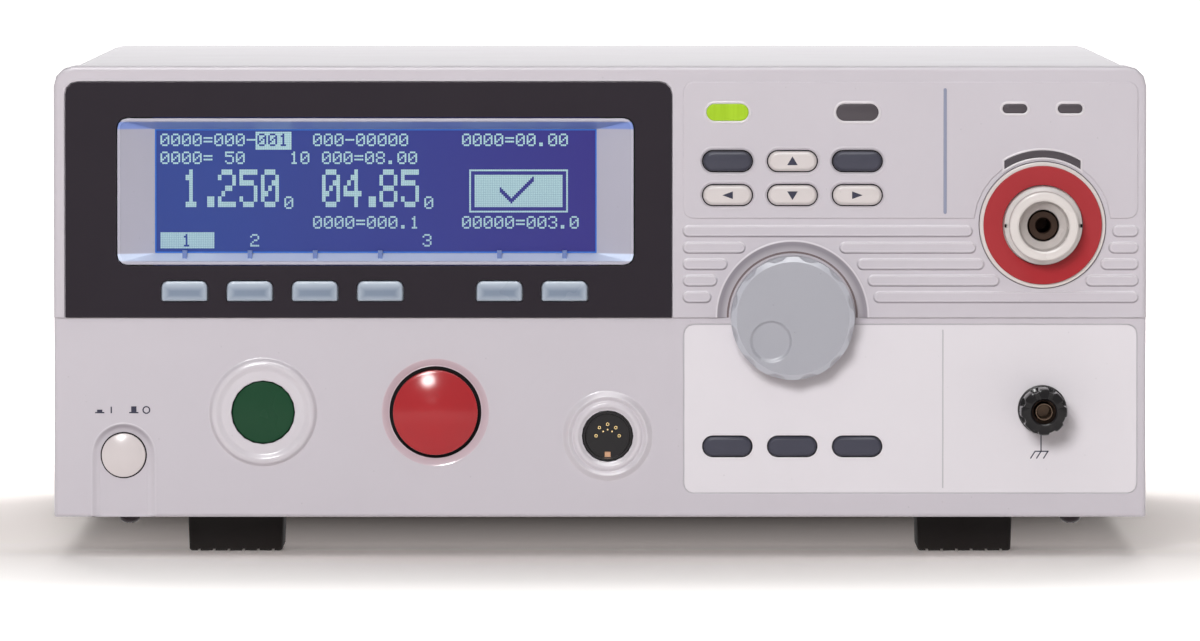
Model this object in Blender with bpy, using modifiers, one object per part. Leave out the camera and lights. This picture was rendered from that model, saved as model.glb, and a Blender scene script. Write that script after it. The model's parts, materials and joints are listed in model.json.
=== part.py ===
"""Bench electrical safety tester, modelled piece by piece.

Metres, +Z up. The front panel looks towards -Y, and +X is to the right of someone who faces it.
The origin is under the middle of the whole instrument, on the surface that it stands on.
"""

import math

import bmesh
import bpy
from mathutils import Matrix, Vector

# General fits and thin edges
GAP = 0.0003
PAST = 0.001
HAIR = 0.00003
LEAST_RADIUS = 0.0002

# Front moulding, seen from the front
SIDE_MARGIN = 0.0032
BLOCK_GAP = 0.0032
RIGHT_MARGIN = 0.0026
TOP_MARGIN = 0.0045
TOP_CORNER = 0.006
BOTTOM_CORNER = 0.0008
BEZEL_DEPTH = 0.024
BEZEL_WALL = 0.003
BEZEL_EDGE = 0.0012
UPPER_STEP = 0.0012
WALL_CUT = 0.005
BOSS_RADIUS = 0.003
BOSS_SIDE = 0.015
BOSS_TOP = 0.0095
BOSS_STEP = 0.008
BOSS_GAP = 0.0102
BOSS_KEY_SIDE = 0.0165
BOSS_KEY_DROP = 0.0225
BOSS_KEY_RISE = 0.0385

# Display side of the upper section
SCREEN_LEFT = 0.016
SCREEN_RIGHT = 0.0118
SCREEN_ABOVE = 0.0112
FRAME_WIDTH = 0.156
FRAME_HEIGHT = 0.0443
FRAME_CORNER = 0.003
FRAME_RIM = 0.001
FRAME_DEPTH = 0.007
WINDOW_SIDE = 0.0112
WINDOW_ABOVE = 0.0034
FRAME_LIP = 0.0005
FASCIA_CORNER = 0.004
FASCIA_BELOW = 0.01595
TICK_WIDTH = 0.0013
TICK_HEIGHT = 0.0016
TICK_DEPTH = 0.0045
GLASS_BORDER = 0.002
GLASS_THICKNESS = 0.0015
MODULE_BORDER = 0.0045
MODULE_THICKNESS = 0.0035

# Keys
SOFT_KEY_SPACE = 0.006
SOFT_KEY_HEIGHT = 0.006
SOFT_KEY_DROP = 0.0079
SOFT_KEY_INSET = 0.0203
SOFT_KEY_END = 0.0209
SOFT_GROUP_GAP = 0.0163
SOFT_KEY_GROUPS = (4, 2)
SOFT_KEY_TOP_RADIUS = 0.0019
SOFT_KEY_BOTTOM_RADIUS = 0.0006
KEY_WIDTH = 0.0147
KEY_HEIGHT = 0.006
KEY_PITCH = 0.0196
KEY_ROW_PITCH = 0.01025
KEY_MARGIN = 0.0133
KEY_ROW_DROP = 0.02865
KEY_RECESS_BORDER = 0.0012
KEY_RECESS_DEPTH = 0.0006
KEY_PROUD = 0.0014
KEY_EDGE = 0.0008
KEY_LIP = 0.0012
KEY_LIP_THICKNESS = 0.001
KEY_TRAVEL = 0.001
FUNCTION_KEY_RISE = 0.0143
FUNCTION_KEY_PROUD = 0.0009

# Lamps
BIG_LAMP_WIDTH = 0.0127
BIG_LAMP_HEIGHT = 0.0051
BIG_LAMP_DROP = 0.0139
SMALL_LAMP_WIDTH = 0.0074
SMALL_LAMP_HEIGHT = 0.0027
SMALL_LAMP_DROP = 0.0128
SMALL_LAMP_SPREAD = 0.00835
LAMP_PROUD = 0.0003
LAMP_LIP = 0.0008
ARC_LAMP_INNER = 0.0204
ARC_LAMP_OUTER = 0.0225
ARC_LAMP_HALF_WIDTH = 0.01145

# Raised panel and moulded ribs of the upper section
PANEL_PROUD = 0.0004
PANEL_TOP_MARGIN = 0.0048
PANEL_HEIGHT = 0.0411
PANEL_CORNER = 0.0029
PANEL_ARC_BORDER = 0.0017
SEPARATOR_GAP = 0.0266
RIB_COUNT = 5
RIB_PITCH = 0.00498
RIB_HEIGHT = 0.003
RIB_DROP = 0.0039
RIB_PROUD = 0.0006
KNOB_RIB_BORDER = 0.0068
TERMINAL_RIB_BORDER = 0.0024

# Lower section and its overlay
OVERLAY_TOP_MARGIN = 0.00195
OVERLAY_HEIGHT = 0.0513
OVERLAY_BOTTOM_MARGIN = 0.0071
OVERLAY_CORNER = 0.003
OVERLAY_THICKNESS = 0.0005

# Knob and encoder
KNOB_RADIUS = 0.0186
KNOB_FACE_RADIUS = 0.017
KNOB_LENGTH = 0.015
KNOB_BEVEL = 0.0012
KNOB_LIFT = 0.0005
KNOB_RISE = 0.00025
KNOB_RING_GAP = 0.0012
KNOB_RING_SLOPE = 0.0029
KNOB_BORE_DEPTH = 0.0115
SCALLOP_COUNT = 12
SCALLOP_RADIUS = 0.0055
SCALLOP_DEPTH = 0.0009
DIMPLE_RADIUS = 0.0062
DIMPLE_DEPTH = 0.0012
DIMPLE_REACH = 0.00955
DIMPLE_ANGLE = math.radians(226)
SHAFT_RADIUS = 0.0027
BUSH_RADIUS = 0.0045
ENCODER_SIZE = 0.013
ENCODER_THICKNESS = 0.006

# Push buttons
POWER_INSET = 0.021
POWER_RISE = 0.0187
POWER_RADIUS = 0.0066
POWER_TRAVEL = 0.0035
POWER_DOME = 0.0012
POWER_PROUD = 0.0006
ARCH_HALF_WIDTH = 0.0096
ARCH_DEPTH = 0.0012
START_GAP = 0.0422
BUTTON_RISE = 0.0317
START_RADIUS = 0.00935
START_RING = 0.0162
START_DOME = 0.0005
START_PROUD = 0.0009
START_DISH = (0.0126, 0.0011)
START_CREST = (0.0142, 0.0019)
START_SHOULDER = (0.0153, 0.0015)
STOP_RADIUS = 0.0128
STOP_RING = 0.0163
STOP_HOLE = 0.0138
STOP_SLOPE = 0.0015
STOP_PROUD = 0.003
STOP_DOME = 0.0028
BUTTON_TRAVEL = 0.0025
BUTTON_LIP = 0.0014
BUTTON_STEM = 0.005
BUTTON_LENGTH = 0.0122
BUTTON_EDGE = 0.0004
SWITCH_SIZE = 0.02
SWITCH_BOARD_BORDER = 0.004
BOARD_THICKNESS = 0.0016
POWER_SWITCH_SIZE = 0.014

# Remote socket
REMOTE_MARGIN = 0.0229
REMOTE_RISE = 0.0245
REMOTE_RADIUS = 0.0075
REMOTE_RING = 0.0134
REMOTE_LENGTH = 0.014
REMOTE_PIN_CIRCLE = 0.0035
REMOTE_PIN_HOLE = 0.0007
REMOTE_PINS = 5
REMOTE_PIN_DEPTH = 0.005
REMOTE_CRESTS = ((0.0081, 0.0005), (0.009, 0.0013), (0.0099, 0.0012), (0.0107, 0.0005), (0.0119, 0.0016))
SOCKET_PROUD = 0.0002
SOCKET_SINK = 0.0016
SOCKET_RIM = 0.0006
SOCKET_RIM_SLOPE = 0.0002
REMOTE_KEY_INSET = 0.0011
REMOTE_KEY_WIDTH = 0.002
REMOTE_KEY_HEIGHT = 0.0016
REMOTE_KEY_DEPTH = 0.004

# High-voltage terminal
TERMINAL_GAP = 0.0293
TERMINAL_MARGIN = 0.0288
TERMINAL_DROP = 0.0479
TERMINAL_FLANGE = 0.019
TERMINAL_FLANGE_THICKNESS = 0.0015
RING_OUTER = 0.0179
RING_THICKNESS = 0.0012
COLLAR_RADIUS = 0.0118
COLLAR_FRONT_RADIUS = 0.0104
COLLAR_LENGTH = 0.017
COLLAR_BORE = 0.0076
CONTACT_HOLE = 0.0048
CONTACT_BORE = 0.0021
CONTACT_SINK = 0.009
BARREL_RADIUS = 0.0112
BARREL_LENGTH = 0.034
BARREL_END = 0.004
COLLAR_EDGE = 0.0008
COLLAR_STEP = 0.0065
COLLAR_STEP_SLOPE = 0.001
COLLAR_TAPER = 0.0006
CONTACT_CHAMFER = 0.003
CONTACT_FLOOR = 0.004

# Return binding post
POST_RISE = 0.0255
POST_FLANGE = 0.0074
POST_FLANGE_THICKNESS = 0.003
POST_BUSH = 0.0042
POST_BUSH_REACH = 0.005
POST_EDGE = 0.0005
CAP_RADIUS = 0.007
CAP_LENGTH = 0.0177
CAP_FRONT_BORE = 0.0036
CAP_FRONT_DEPTH = 0.007
CAP_SCALLOPS = 8
CAP_SCALLOP_RADIUS = 0.0014
CAP_EDGE = 0.0008
CAP_BACK_EDGE = 0.0006
CAP_SKIRT = 0.004
INSERT_RADIUS = 0.0043
STUD_RADIUS = 0.0027
STUD_BORE = 0.002
STUD_BORE_DEPTH = 0.016
STUD_SINK = 0.0015
STUD_REAR = 0.031

# Case
CASE_DEPTH = 0.4192
SHEET = 0.0012
COVER_SIDE_INSET = 0.001
COVER_TOP_INSET = 0.0006
COVER_RISE = 0.0013
COVER_CORNER = 0.006
TRAY_RISE = 0.0007
TRAY_FLANGE = 0.026
CHASSIS_SHEET = 0.0015
VENT_COUNT = 8
VENT_WIDTH = 0.003
VENT_PITCH = 0.008
VENT_HEIGHT = 0.034
VENT_RISE = 0.05
VENT_REAR = 0.07

# Feet and tilt legs
FOOT_HEIGHT = 0.0117
FOOT_TOP_WIDTH = 0.0292
FOOT_SOLE_WIDTH = 0.0283
FOOT_LENGTH = 0.042
FOOT_INSET = 0.0542
FOOT_CORNER = 0.001
SOLE_EDGE = 0.0006
SOLE_INSET = 0.0008
SOLE_SIDE_INSET = 0.0002
FOOT_SETBACK = 0.03
FOOT_REAR_SETBACK = 0.03
FOOT_EAR = 0.0034
LEG_THICKNESS = 0.004
LEG_LENGTH = 0.034
LEG_PIVOT_RISE = 0.0052
LEG_PIVOT_SETBACK = 0.016
LEG_KNUCKLE = 0.003
LEG_PIN = 0.0012
LEG_ROOF = 0.0026
LEG_SLOT_BORDER = 0.002
PIN_SHARE = 0.7

# Rear panel and what it carries
REAR_SHEET = 0.0015
REAR_SINK = 0.001
FAN_SIZE = 0.08
FAN_DEPTH = 0.025
FAN_BORE = 0.0375
FAN_INSET = 0.07
FAN_RISE = 0.066
FAN_CORNER = 0.004
FAN_SCREW_INSET = 0.00425
FAN_SCREW_RADIUS = 0.0022
FAN_STRUT = 0.003
FAN_STRUT_WIDTH = 0.006
FAN_HUB = 0.017
FAN_HUB_LENGTH = 0.019
FAN_PIN = 0.002
FAN_PIN_REACH = 0.01
HUB_EDGE = 0.001
BLADE_SETBACK = 0.002
BLADE_COUNT = 7
BLADE_THICKNESS = 0.0014
BLADE_CHORD = 0.0145
BLADE_TIP_GAP = 0.0011
BLADE_SWEEP = math.radians(34)
GUARD_THICKNESS = 0.0015
GUARD_RINGS = 3
GUARD_BAR = 0.0016
GUARD_HUB = 0.009
INLET_INSET = 0.045
INLET_RISE = 0.033
INLET_WIDTH = 0.0274
INLET_HEIGHT = 0.031
INLET_FLANGE_WIDTH = 0.05
INLET_FLANGE_HEIGHT = 0.036
INLET_FLANGE = 0.0028
INLET_CORNER = 0.004
INLET_DEPTH = 0.028
CAVITY_WIDTH = 0.0242
CAVITY_HEIGHT = 0.0165
CAVITY_CHAMFER = 0.0045
CAVITY_DEPTH = 0.0155
CAVITY_RISE = 0.0055
INLET_PIN_WIDTH = 0.002
INLET_PIN_HEIGHT = 0.004
INLET_PIN_LENGTH = 0.0125
INLET_PIN_SPREAD = 0.007
INLET_PIN_DROP = 0.001
INLET_PIN_RISE = 0.003
DRAWER_WIDTH = 0.022
DRAWER_HEIGHT = 0.0072
DRAWER_DROP = 0.0092
DRAWER_LENGTH = 0.024
DRAWER_GRIP = 0.0025
DRAWER_GRIP_INSET = 0.004
DRAWER_GRIP_BORDER = 0.0012
DRAWER_WALL = 0.0016
DRAWER_FLOOR = 0.0014
DRAWER_FACE = 0.003
EARTH_INSET = 0.09
EARTH_RISE = 0.03
EARTH_STUD = 0.0025
EARTH_NUT = 0.005
EARTH_NUT_HEIGHT = 0.004
EARTH_LENGTH = 0.014

# Inside
BOARD_RISE = 0.008
BOARD_LEFT = 0.125
BOARD_RIGHT = 0.012
BOARD_FRONT = 0.05
BOARD_REAR = 0.0015
FRONT_BOARD_SIDE = 0.007
FRONT_BOARD_TOP = 0.0045
FRONT_BOARD_STEP = 0.003
FRONT_BOARD_TAB = (0.0028, 0.021)
FRONT_BOARD_TAB_RISE = 0.0123
FRONT_BOARD_CLEAR = 0.0045
CABLE_SLOT_RISE = 0.04
CABLE_SLOT_WIDTH = 0.03
CABLE_SLOT_HEIGHT = 0.014
STANDOFF_RADIUS = 0.003
STANDOFF_INSET = 0.008
PORT_INSETS = (0.03, 0.095)
PORT_WIDTHS = (0.017, 0.039)
PORT_SHELL_HEIGHT = 0.0083
PORT_SHELL_PROUD = 0.0055
PORT_BODY_LENGTH = 0.014
PORT_BODY_HEIGHT = 0.0125
PORT_SLANT = 0.0012
PORT_BODY_BORDER = 0.007
PORT_SHELL_WALL = 0.0008
SINK_FINS = 6
SINK_LENGTH = 0.09
SINK_HEIGHT = 0.045
SINK_SETBACK = 0.03
SINK_BASE = 0.004
FIN_PITCH = 0.007
FIN_THICKNESS = 0.002
CORE_WIDTH = 0.072
CORE_HEIGHT = 0.076
CORE_THICKNESS = 0.046
CORE_LEG = 0.013
COIL_OVERHANG = 0.014
COIL_GAP = 0.001
COIL_CORNER = 0.008
CORE_INSET = 0.02
CORE_SETBACK = 0.07
SUPPLY_WIDTH = 0.088
SUPPLY_LENGTH = 0.14
SUPPLY_HEIGHT = 0.042
SUPPLY_REAR = 0.05
SUPPLY_WALL = 0.0012
SUPPLY_SLOTS = 9
SUPPLY_SLOT_WIDTH = 0.004
SUPPLY_SLOT_INSET = 0.012
SUPPLY_SLOT_PITCH = 0.012

# Number of flats on round pieces
FINE = 28
MEDIUM = 24
ROUND = 20
COARSE = 14
SMALL = 8
HEXAGON = 6
KEY_STEPS = 4
END_STEPS = 3

# Widths worked out from the pieces that stand side by side
FASCIA_WIDTH = SCREEN_LEFT + FRAME_WIDTH + SCREEN_RIGHT
PANEL_WIDTH = KEY_MARGIN + 2 * KEY_PITCH + SEPARATOR_GAP + TERMINAL_GAP + TERMINAL_MARGIN
CASE_WIDTH = SIDE_MARGIN + FASCIA_WIDTH + BLOCK_GAP + PANEL_WIDTH + RIGHT_MARGIN
CASE_LEFT = -CASE_WIDTH / 2
CASE_RIGHT = CASE_WIDTH / 2
FOOT_SPREAD = CASE_RIGHT - FOOT_INSET
FASCIA_LEFT = CASE_LEFT + SIDE_MARGIN
FASCIA_RIGHT = FASCIA_LEFT + FASCIA_WIDTH
FRAME_LEFT = FASCIA_LEFT + SCREEN_LEFT
SOFT_KEY_RUN = FRAME_WIDTH - SOFT_KEY_INSET - SOFT_KEY_END - SOFT_GROUP_GAP
SOFT_KEY_PITCH = SOFT_KEY_RUN / (sum(SOFT_KEY_GROUPS) - 1)
SOFT_KEY_WIDTH = SOFT_KEY_PITCH - SOFT_KEY_SPACE
PANEL_LEFT = FASCIA_RIGHT + BLOCK_GAP
PANEL_RIGHT = PANEL_LEFT + PANEL_WIDTH
KEY_COLUMNS = [PANEL_LEFT + KEY_MARGIN + column * KEY_PITCH for column in range(3)]
KNOB_X = KEY_COLUMNS[1]
TERMINAL_X = KEY_COLUMNS[2] + SEPARATOR_GAP + TERMINAL_GAP
POWER_X = CASE_LEFT + POWER_INSET
START_X = POWER_X + START_GAP
REMOTE_X = PANEL_LEFT - REMOTE_MARGIN
STOP_X = (START_X + REMOTE_X) / 2

# Heights worked out from the pieces that stand above one another
BASE_Z = FOOT_HEIGHT
OVERLAY_BOTTOM = BASE_Z + OVERLAY_BOTTOM_MARGIN
OVERLAY_TOP = OVERLAY_BOTTOM + OVERLAY_HEIGHT
STEP_Z = OVERLAY_TOP + OVERLAY_TOP_MARGIN
FRAME_BOTTOM = STEP_Z + FASCIA_BELOW
FRAME_TOP = FRAME_BOTTOM + FRAME_HEIGHT
FASCIA_TOP = FRAME_TOP + SCREEN_ABOVE
TOP_Z = FASCIA_TOP + TOP_MARGIN
SOFT_KEY_Z = FRAME_BOTTOM - SOFT_KEY_DROP
KEY_ROWS = [TOP_Z - KEY_ROW_DROP - row * KEY_ROW_PITCH for row in range(2)]
PANEL_TOP = TOP_Z - PANEL_TOP_MARGIN
PANEL_BOTTOM = PANEL_TOP - PANEL_HEIGHT
TERMINAL_Z = TOP_Z - TERMINAL_DROP
KNOB_Z = STEP_Z + KNOB_RISE
FUNCTION_KEY_Z = OVERLAY_BOTTOM + FUNCTION_KEY_RISE
POST_Z = OVERLAY_BOTTOM + POST_RISE
BUTTON_Z = BASE_Z + BUTTON_RISE
REMOTE_Z = BASE_Z + REMOTE_RISE
POWER_Z = BASE_Z + POWER_RISE

# Depths, from the front reach of the binding post to the rear reach of the earth stud
FRONT_REACH = POST_FLANGE_THICKNESS + GAP + CAP_LENGTH - UPPER_STEP
TOTAL_DEPTH = FRONT_REACH + CASE_DEPTH - REAR_SINK + EARTH_LENGTH
UPPER_Y = -TOTAL_DEPTH / 2 + FRONT_REACH
LOWER_Y = UPPER_Y + UPPER_STEP
WALL_BACK = LOWER_Y + BEZEL_WALL
PANEL_Y = UPPER_Y - PANEL_PROUD
BEZEL_BACK = UPPER_Y + BEZEL_DEPTH
LIP_FRONT = WALL_BACK + GAP
MODULE_FRONT = UPPER_Y + FRAME_DEPTH + GAP
MODULE_BACK = MODULE_FRONT + GLASS_THICKNESS + MODULE_THICKNESS
FRONT_BOARD_Y = MODULE_BACK + GAP
CASE_FRONT = BEZEL_BACK + GAP
CHASSIS_Y = CASE_FRONT + GAP
CASE_BACK = UPPER_Y + CASE_DEPTH
REAR_Y = CASE_BACK - REAR_SINK
TRAY_Z = BASE_Z + TRAY_RISE
FLOOR_Z = TRAY_Z + SHEET

PARTS = "electrical_safety_tester"
TOOLS = "cutters"


def clear_scene():
    """Remove what the scene holds."""
    for item in list(bpy.data.objects):
        bpy.data.objects.remove(item, do_unlink=True)


def new_collection(name):
    """Add an empty collection to the scene."""
    bpy.context.scene.collection.children.link(bpy.data.collections.new(name))


def finish(name, colour, roughness, metallic=0.0):
    """A plain Principled material."""
    material = bpy.data.materials.get(name)
    if material is None:
        material = bpy.data.materials.new(name)
        material.use_nodes = True
        shader = material.node_tree.nodes["Principled BSDF"]
        shader.inputs["Base Color"].default_value = (*colour, 1.0)
        shader.inputs["Roughness"].default_value = roughness
        shader.inputs["Metallic"].default_value = metallic
    return material


def case_plastic():
    return finish("case_plastic", (0.61, 0.56, 0.60), 0.45)


def cover_paint():
    return finish("cover_paint", (0.76, 0.72, 0.76), 0.5)


def fascia_black():
    return finish("fascia_black", (0.036, 0.03, 0.036), 0.4)


def frame_grey():
    return finish("frame_grey", (0.34, 0.34, 0.42), 0.4)


def screen_blue():
    return finish("screen_blue", (0.045, 0.06, 0.24), 0.2)


def soft_key_blue():
    return finish("soft_key_blue", (0.26, 0.3, 0.38), 0.4)


def dark_key():
    return finish("dark_key", (0.09, 0.085, 0.115), 0.4)


def cream_key():
    return finish("cream_key", (0.79, 0.72, 0.68), 0.4)


def lamp_green():
    return finish("lamp_green", (0.38, 0.61, 0.03), 0.3)


def lamp_dark():
    return finish("lamp_dark", (0.1, 0.09, 0.085), 0.3)


def overlay_white():
    return finish("overlay_white", (0.71, 0.67, 0.71), 0.5)


def knob_grey():
    return finish("knob_grey", (0.4, 0.4, 0.44), 0.4)


def button_green():
    return finish("button_green", (0.02, 0.085, 0.034), 0.35)


def button_red():
    return finish("button_red", (0.48, 0.032, 0.045), 0.25)


def ring_red():
    return finish("ring_red", (0.39, 0.032, 0.036), 0.5)


def black_plastic():
    return finish("black_plastic", (0.02, 0.018, 0.018), 0.35)


def black_rubber():
    return finish("black_rubber", (0.022, 0.018, 0.017), 0.8)


def bright_metal():
    return finish("bright_metal", (0.72, 0.7, 0.67), 0.3, 1.0)


def brass():
    return finish("brass", (0.72, 0.52, 0.25), 0.3, 1.0)


def sheet_steel():
    return finish("sheet_steel", (0.6, 0.61, 0.62), 0.4, 1.0)


def board_green():
    return finish("board_green", (0.03, 0.16, 0.07), 0.5)


def core_steel():
    return finish("core_steel", (0.2, 0.2, 0.21), 0.5, 0.8)


def arc(centre, radius, start, end, steps):
    """Points of an arc, both ends included."""
    points = []
    for step in range(steps + 1):
        angle = start + (end - start) * step / steps
        points.append((centre[0] + radius * math.cos(angle), centre[1] + radius * math.sin(angle)))
    return points


def circle(centre, radius, steps=ROUND):
    """Points of a full circle."""
    return arc(centre, radius, 0.0, 2 * math.pi, steps)[:-1]


def rounded_box(left, right, bottom, top, radii, inset=0.0, steps=END_STEPS):
    """Rectangle with a radius at each corner: bottom left, bottom right, top right, top left."""
    left, right, bottom, top = left + inset, right - inset, bottom + inset, top - inset
    corners = ((left, bottom, 1, 1), (right, bottom, -1, 1), (right, top, -1, -1), (left, top, 1, -1))
    points = []
    for index, (x, z, inward_x, inward_z) in enumerate(corners):
        radius = max(radii[index] - inset, LEAST_RADIUS)
        start = math.pi + index * math.pi / 2
        centre = (x + inward_x * radius, z + inward_z * radius)
        points += arc(centre, radius, start, start + math.pi / 2, steps)
    return points


def plain_box(left, right, bottom, top, radius=LEAST_RADIUS, inset=0.0, steps=END_STEPS):
    """Rectangle with the same radius at its four corners."""
    return rounded_box(left, right, bottom, top, (radius,) * 4, inset, steps)


def rectangle(left, right, bottom, top):
    """Rectangle with sharp corners."""
    return [(left, bottom), (right, bottom), (right, top), (left, top)]


def stadium(centre, width, height, inset=0.0, steps=KEY_STEPS):
    """Bar with full round ends."""
    radius = height / 2 - inset
    reach = (width - height) / 2
    right = arc((centre[0] + reach, centre[1]), radius, -math.pi / 2, math.pi / 2, steps)
    left = arc((centre[0] - reach, centre[1]), radius, math.pi / 2, 3 * math.pi / 2, steps)
    return right + left


def ring_bar(centre, inner, outer, half_width, steps=8):
    """Curved bar over a round piece, cut off upright at both ends."""
    outer_half = math.asin(half_width / outer)
    inner_half = math.asin(half_width / inner)
    middle = math.pi / 2
    far = arc(centre, outer, middle - outer_half, middle + outer_half, steps)
    near = arc(centre, inner, middle + inner_half, middle - inner_half, steps)
    return far + near


def tidy(mesh):
    """Weld a mesh and turn its faces outwards."""
    form = bmesh.new()
    form.from_mesh(mesh)
    bmesh.ops.remove_doubles(form, verts=form.verts, dist=1e-6)
    loose = [edge for edge in form.edges if not edge.link_faces]
    bmesh.ops.delete(form, geom=loose, context="EDGES")
    bmesh.ops.recalc_face_normals(form, faces=form.faces)
    form.to_mesh(mesh)
    form.free()
    return mesh


def from_bmesh(form):
    """Mesh data out of a bmesh."""
    mesh = bpy.data.meshes.new("form")
    form.to_mesh(mesh)
    form.free()
    return tidy(mesh)


AXIS_FRAMES = {
    "X": Matrix(((0, 0, 1, 0), (1, 0, 0, 0), (0, 1, 0, 0), (0, 0, 0, 1))),
    "Y": Matrix(((1, 0, 0, 0), (0, 0, -1, 0), (0, 1, 0, 0), (0, 0, 0, 1))),
    "Z": Matrix.Identity(4),
}


def evaluated_mesh(data, modify=None):
    """Mesh of a curve or of a mesh with modifiers, once they are worked out."""
    guide = bpy.data.objects.new("guide", data)
    bpy.context.scene.collection.objects.link(guide)
    if modify:
        modify(guide)
    depsgraph = bpy.context.evaluated_depsgraph_get()
    mesh = bpy.data.meshes.new_from_object(guide.evaluated_get(depsgraph))
    bpy.data.objects.remove(guide, do_unlink=True)
    return mesh


def prism(outlines, start, end, axis="Y"):
    """Flat outlines, the first with the others as holes or beside it, made solid along an axis.

    Outlines along Y hold X and Z, along X they hold Y and Z, and along Z they hold X and Y.
    """
    curve = bpy.data.curves.new("outline", "CURVE")
    curve.dimensions = "2D"
    curve.fill_mode = "BOTH"
    curve.extrude = abs(end - start) / 2
    for outline in outlines:
        spline = curve.splines.new("POLY")
        spline.points.add(len(outline) - 1)
        for point, (across, up) in zip(spline.points, outline):
            point.co = (across, up, 0, 1)
        spline.use_cyclic_u = True
    mesh = evaluated_mesh(curve)
    mesh.transform(AXIS_FRAMES[axis])
    offset = Vector((0, 0, 0))
    offset["XYZ".index(axis)] = (start + end) / 2
    mesh.transform(Matrix.Translation(offset))
    return tidy(mesh)


def skin(rings):
    """Closed loft over rings of equal point count."""
    form = bmesh.new()
    loops = [[form.verts.new(point) for point in ring] for ring in rings]
    for near, far in zip(loops, loops[1:]):
        for index in range(len(near)):
            after = (index + 1) % len(near)
            form.faces.new((near[index], near[after], far[after], far[index]))
    form.faces.new(loops[0][::-1])
    form.faces.new(loops[-1])
    return from_bmesh(form)


def loft(outline, profile):
    """Loft of one outline along Y: the profile holds insets and Y places, front to back."""
    return skin([[(x, place, z) for x, z in outline(inset)] for inset, place in profile])


def turned(centre, profile, steps=FINE, ring=False):
    """Turned piece about an axis along Y: radii and Y places, from the front down the outer side."""
    points = [(radius, 0, -place) for radius, place in profile]
    edges = [(index, index + 1) for index in range(len(points) - 1)]
    if ring:
        edges.append((len(points) - 1, 0))
    data = bpy.data.meshes.new("profile")
    data.from_pydata(points, edges, [])

    def add_screw(guide):
        screw = guide.modifiers.new("turn", "SCREW")
        screw.steps = steps
        screw.render_steps = steps
        screw.use_merge_vertices = True
        screw.merge_threshold = 1e-6

    mesh = evaluated_mesh(data, add_screw)
    mesh.transform(AXIS_FRAMES["Y"])
    mesh.transform(Matrix.Translation((centre[0], 0, centre[1])))
    return tidy(mesh)


def rod(start, end, radius, steps=SMALL):
    """Plain cylinder between two points."""
    start, end = Vector(start), Vector(end)
    direction = end - start
    form = bmesh.new()
    place = Matrix.Translation((start + end) / 2) @ direction.to_track_quat("Z", "Y").to_matrix().to_4x4()
    bmesh.ops.create_cone(
        form, cap_ends=True, segments=steps, radius1=radius, radius2=radius,
        depth=direction.length, matrix=place,
    )
    return from_bmesh(form)


def block(low, high):
    """Plain box between two corners."""
    low, high = Vector(low), Vector(high)
    size = high - low
    form = bmesh.new()
    place = Matrix.Translation((low + high) / 2) @ Matrix.Diagonal((*size, 1))
    bmesh.ops.create_cube(form, size=1, matrix=place)
    return from_bmesh(form)


def together(meshes):
    """Several closed forms that stand apart, held in one mesh."""
    form = bmesh.new()
    for mesh in meshes:
        form.from_mesh(mesh)
    return from_bmesh(form)


def piece(name, mesh, material, pivot=None):
    """A named part, with its origin on its joint's axis where it has one."""
    mesh.name = name
    mesh.materials.clear()
    mesh.materials.append(material)
    mesh.shade_smooth()
    mesh.set_sharp_from_angle(angle=math.radians(30))
    made = bpy.data.objects.new(name, mesh)
    if pivot:
        mesh.transform(Matrix.Translation(-Vector(pivot)))
        made.location = pivot
    bpy.data.collections[PARTS].objects.link(made)
    return made


def combine(target, mesh, operation):
    """Boolean of a part with a form that stays in the file as a hidden tool."""
    name = f"{target.name}_{operation.lower()}_{len(target.modifiers) + 1}"
    tool = bpy.data.objects.new(name, mesh)
    tool.hide_render = True
    tool.display_type = "WIRE"
    bpy.data.collections[TOOLS].objects.link(tool)
    modifier = target.modifiers.new(name, "BOOLEAN")
    modifier.operation = operation
    modifier.solver = "EXACT"
    modifier.object = tool


def add(target, mesh):
    combine(target, mesh, "UNION")


def cut(target, mesh):
    combine(target, mesh, "DIFFERENCE")


def rounded_front(face, radius, steps=3):
    """Insets and places that round a front edge."""
    profile = []
    for step in range(steps + 1):
        angle = math.pi / 2 * step / steps
        profile.append((radius - radius * math.sin(angle), face + radius - radius * math.cos(angle)))
    return profile


def dome(radius, height, face, steps=3):
    """Radii and places of a domed face whose crown lies at the given place."""
    curvature = (radius ** 2 + height ** 2) / (2 * height)
    profile = []
    for step in range(steps + 1):
        reach = radius * step / steps
        profile.append((reach, face + curvature - math.sqrt(curvature ** 2 - reach ** 2)))
    return profile


def soft_key_centres():
    """Centres of the keys under the screen, in two groups."""
    centres = []
    x = FRAME_LEFT + SOFT_KEY_INSET
    for count in SOFT_KEY_GROUPS:
        for _ in range(count):
            centres.append((x, SOFT_KEY_Z))
            x += SOFT_KEY_PITCH
        x += SOFT_GROUP_GAP
    return centres


def function_key_centres():
    return [(x, FUNCTION_KEY_Z) for x in KEY_COLUMNS]


def navigation_key_centres():
    return [(x, z) for z in KEY_ROWS for x in KEY_COLUMNS]


def soft_key_outline(centre, inset=0.0):
    """Key outline with round top corners and tighter bottom corners."""
    half_width, half_height = SOFT_KEY_WIDTH / 2, SOFT_KEY_HEIGHT / 2
    radii = (SOFT_KEY_BOTTOM_RADIUS,) * 2 + (SOFT_KEY_TOP_RADIUS,) * 2
    return rounded_box(
        centre[0] - half_width, centre[0] + half_width,
        centre[1] - half_height, centre[1] + half_height, radii, inset, steps=2,
    )


def key_outline(centre, inset=0.0):
    return stadium(centre, KEY_WIDTH, KEY_HEIGHT, inset)


def frame_outline(inset=0.0):
    return plain_box(
        FRAME_LEFT, FRAME_LEFT + FRAME_WIDTH, FRAME_BOTTOM, FRAME_TOP, FRAME_CORNER, inset,
    )


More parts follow.
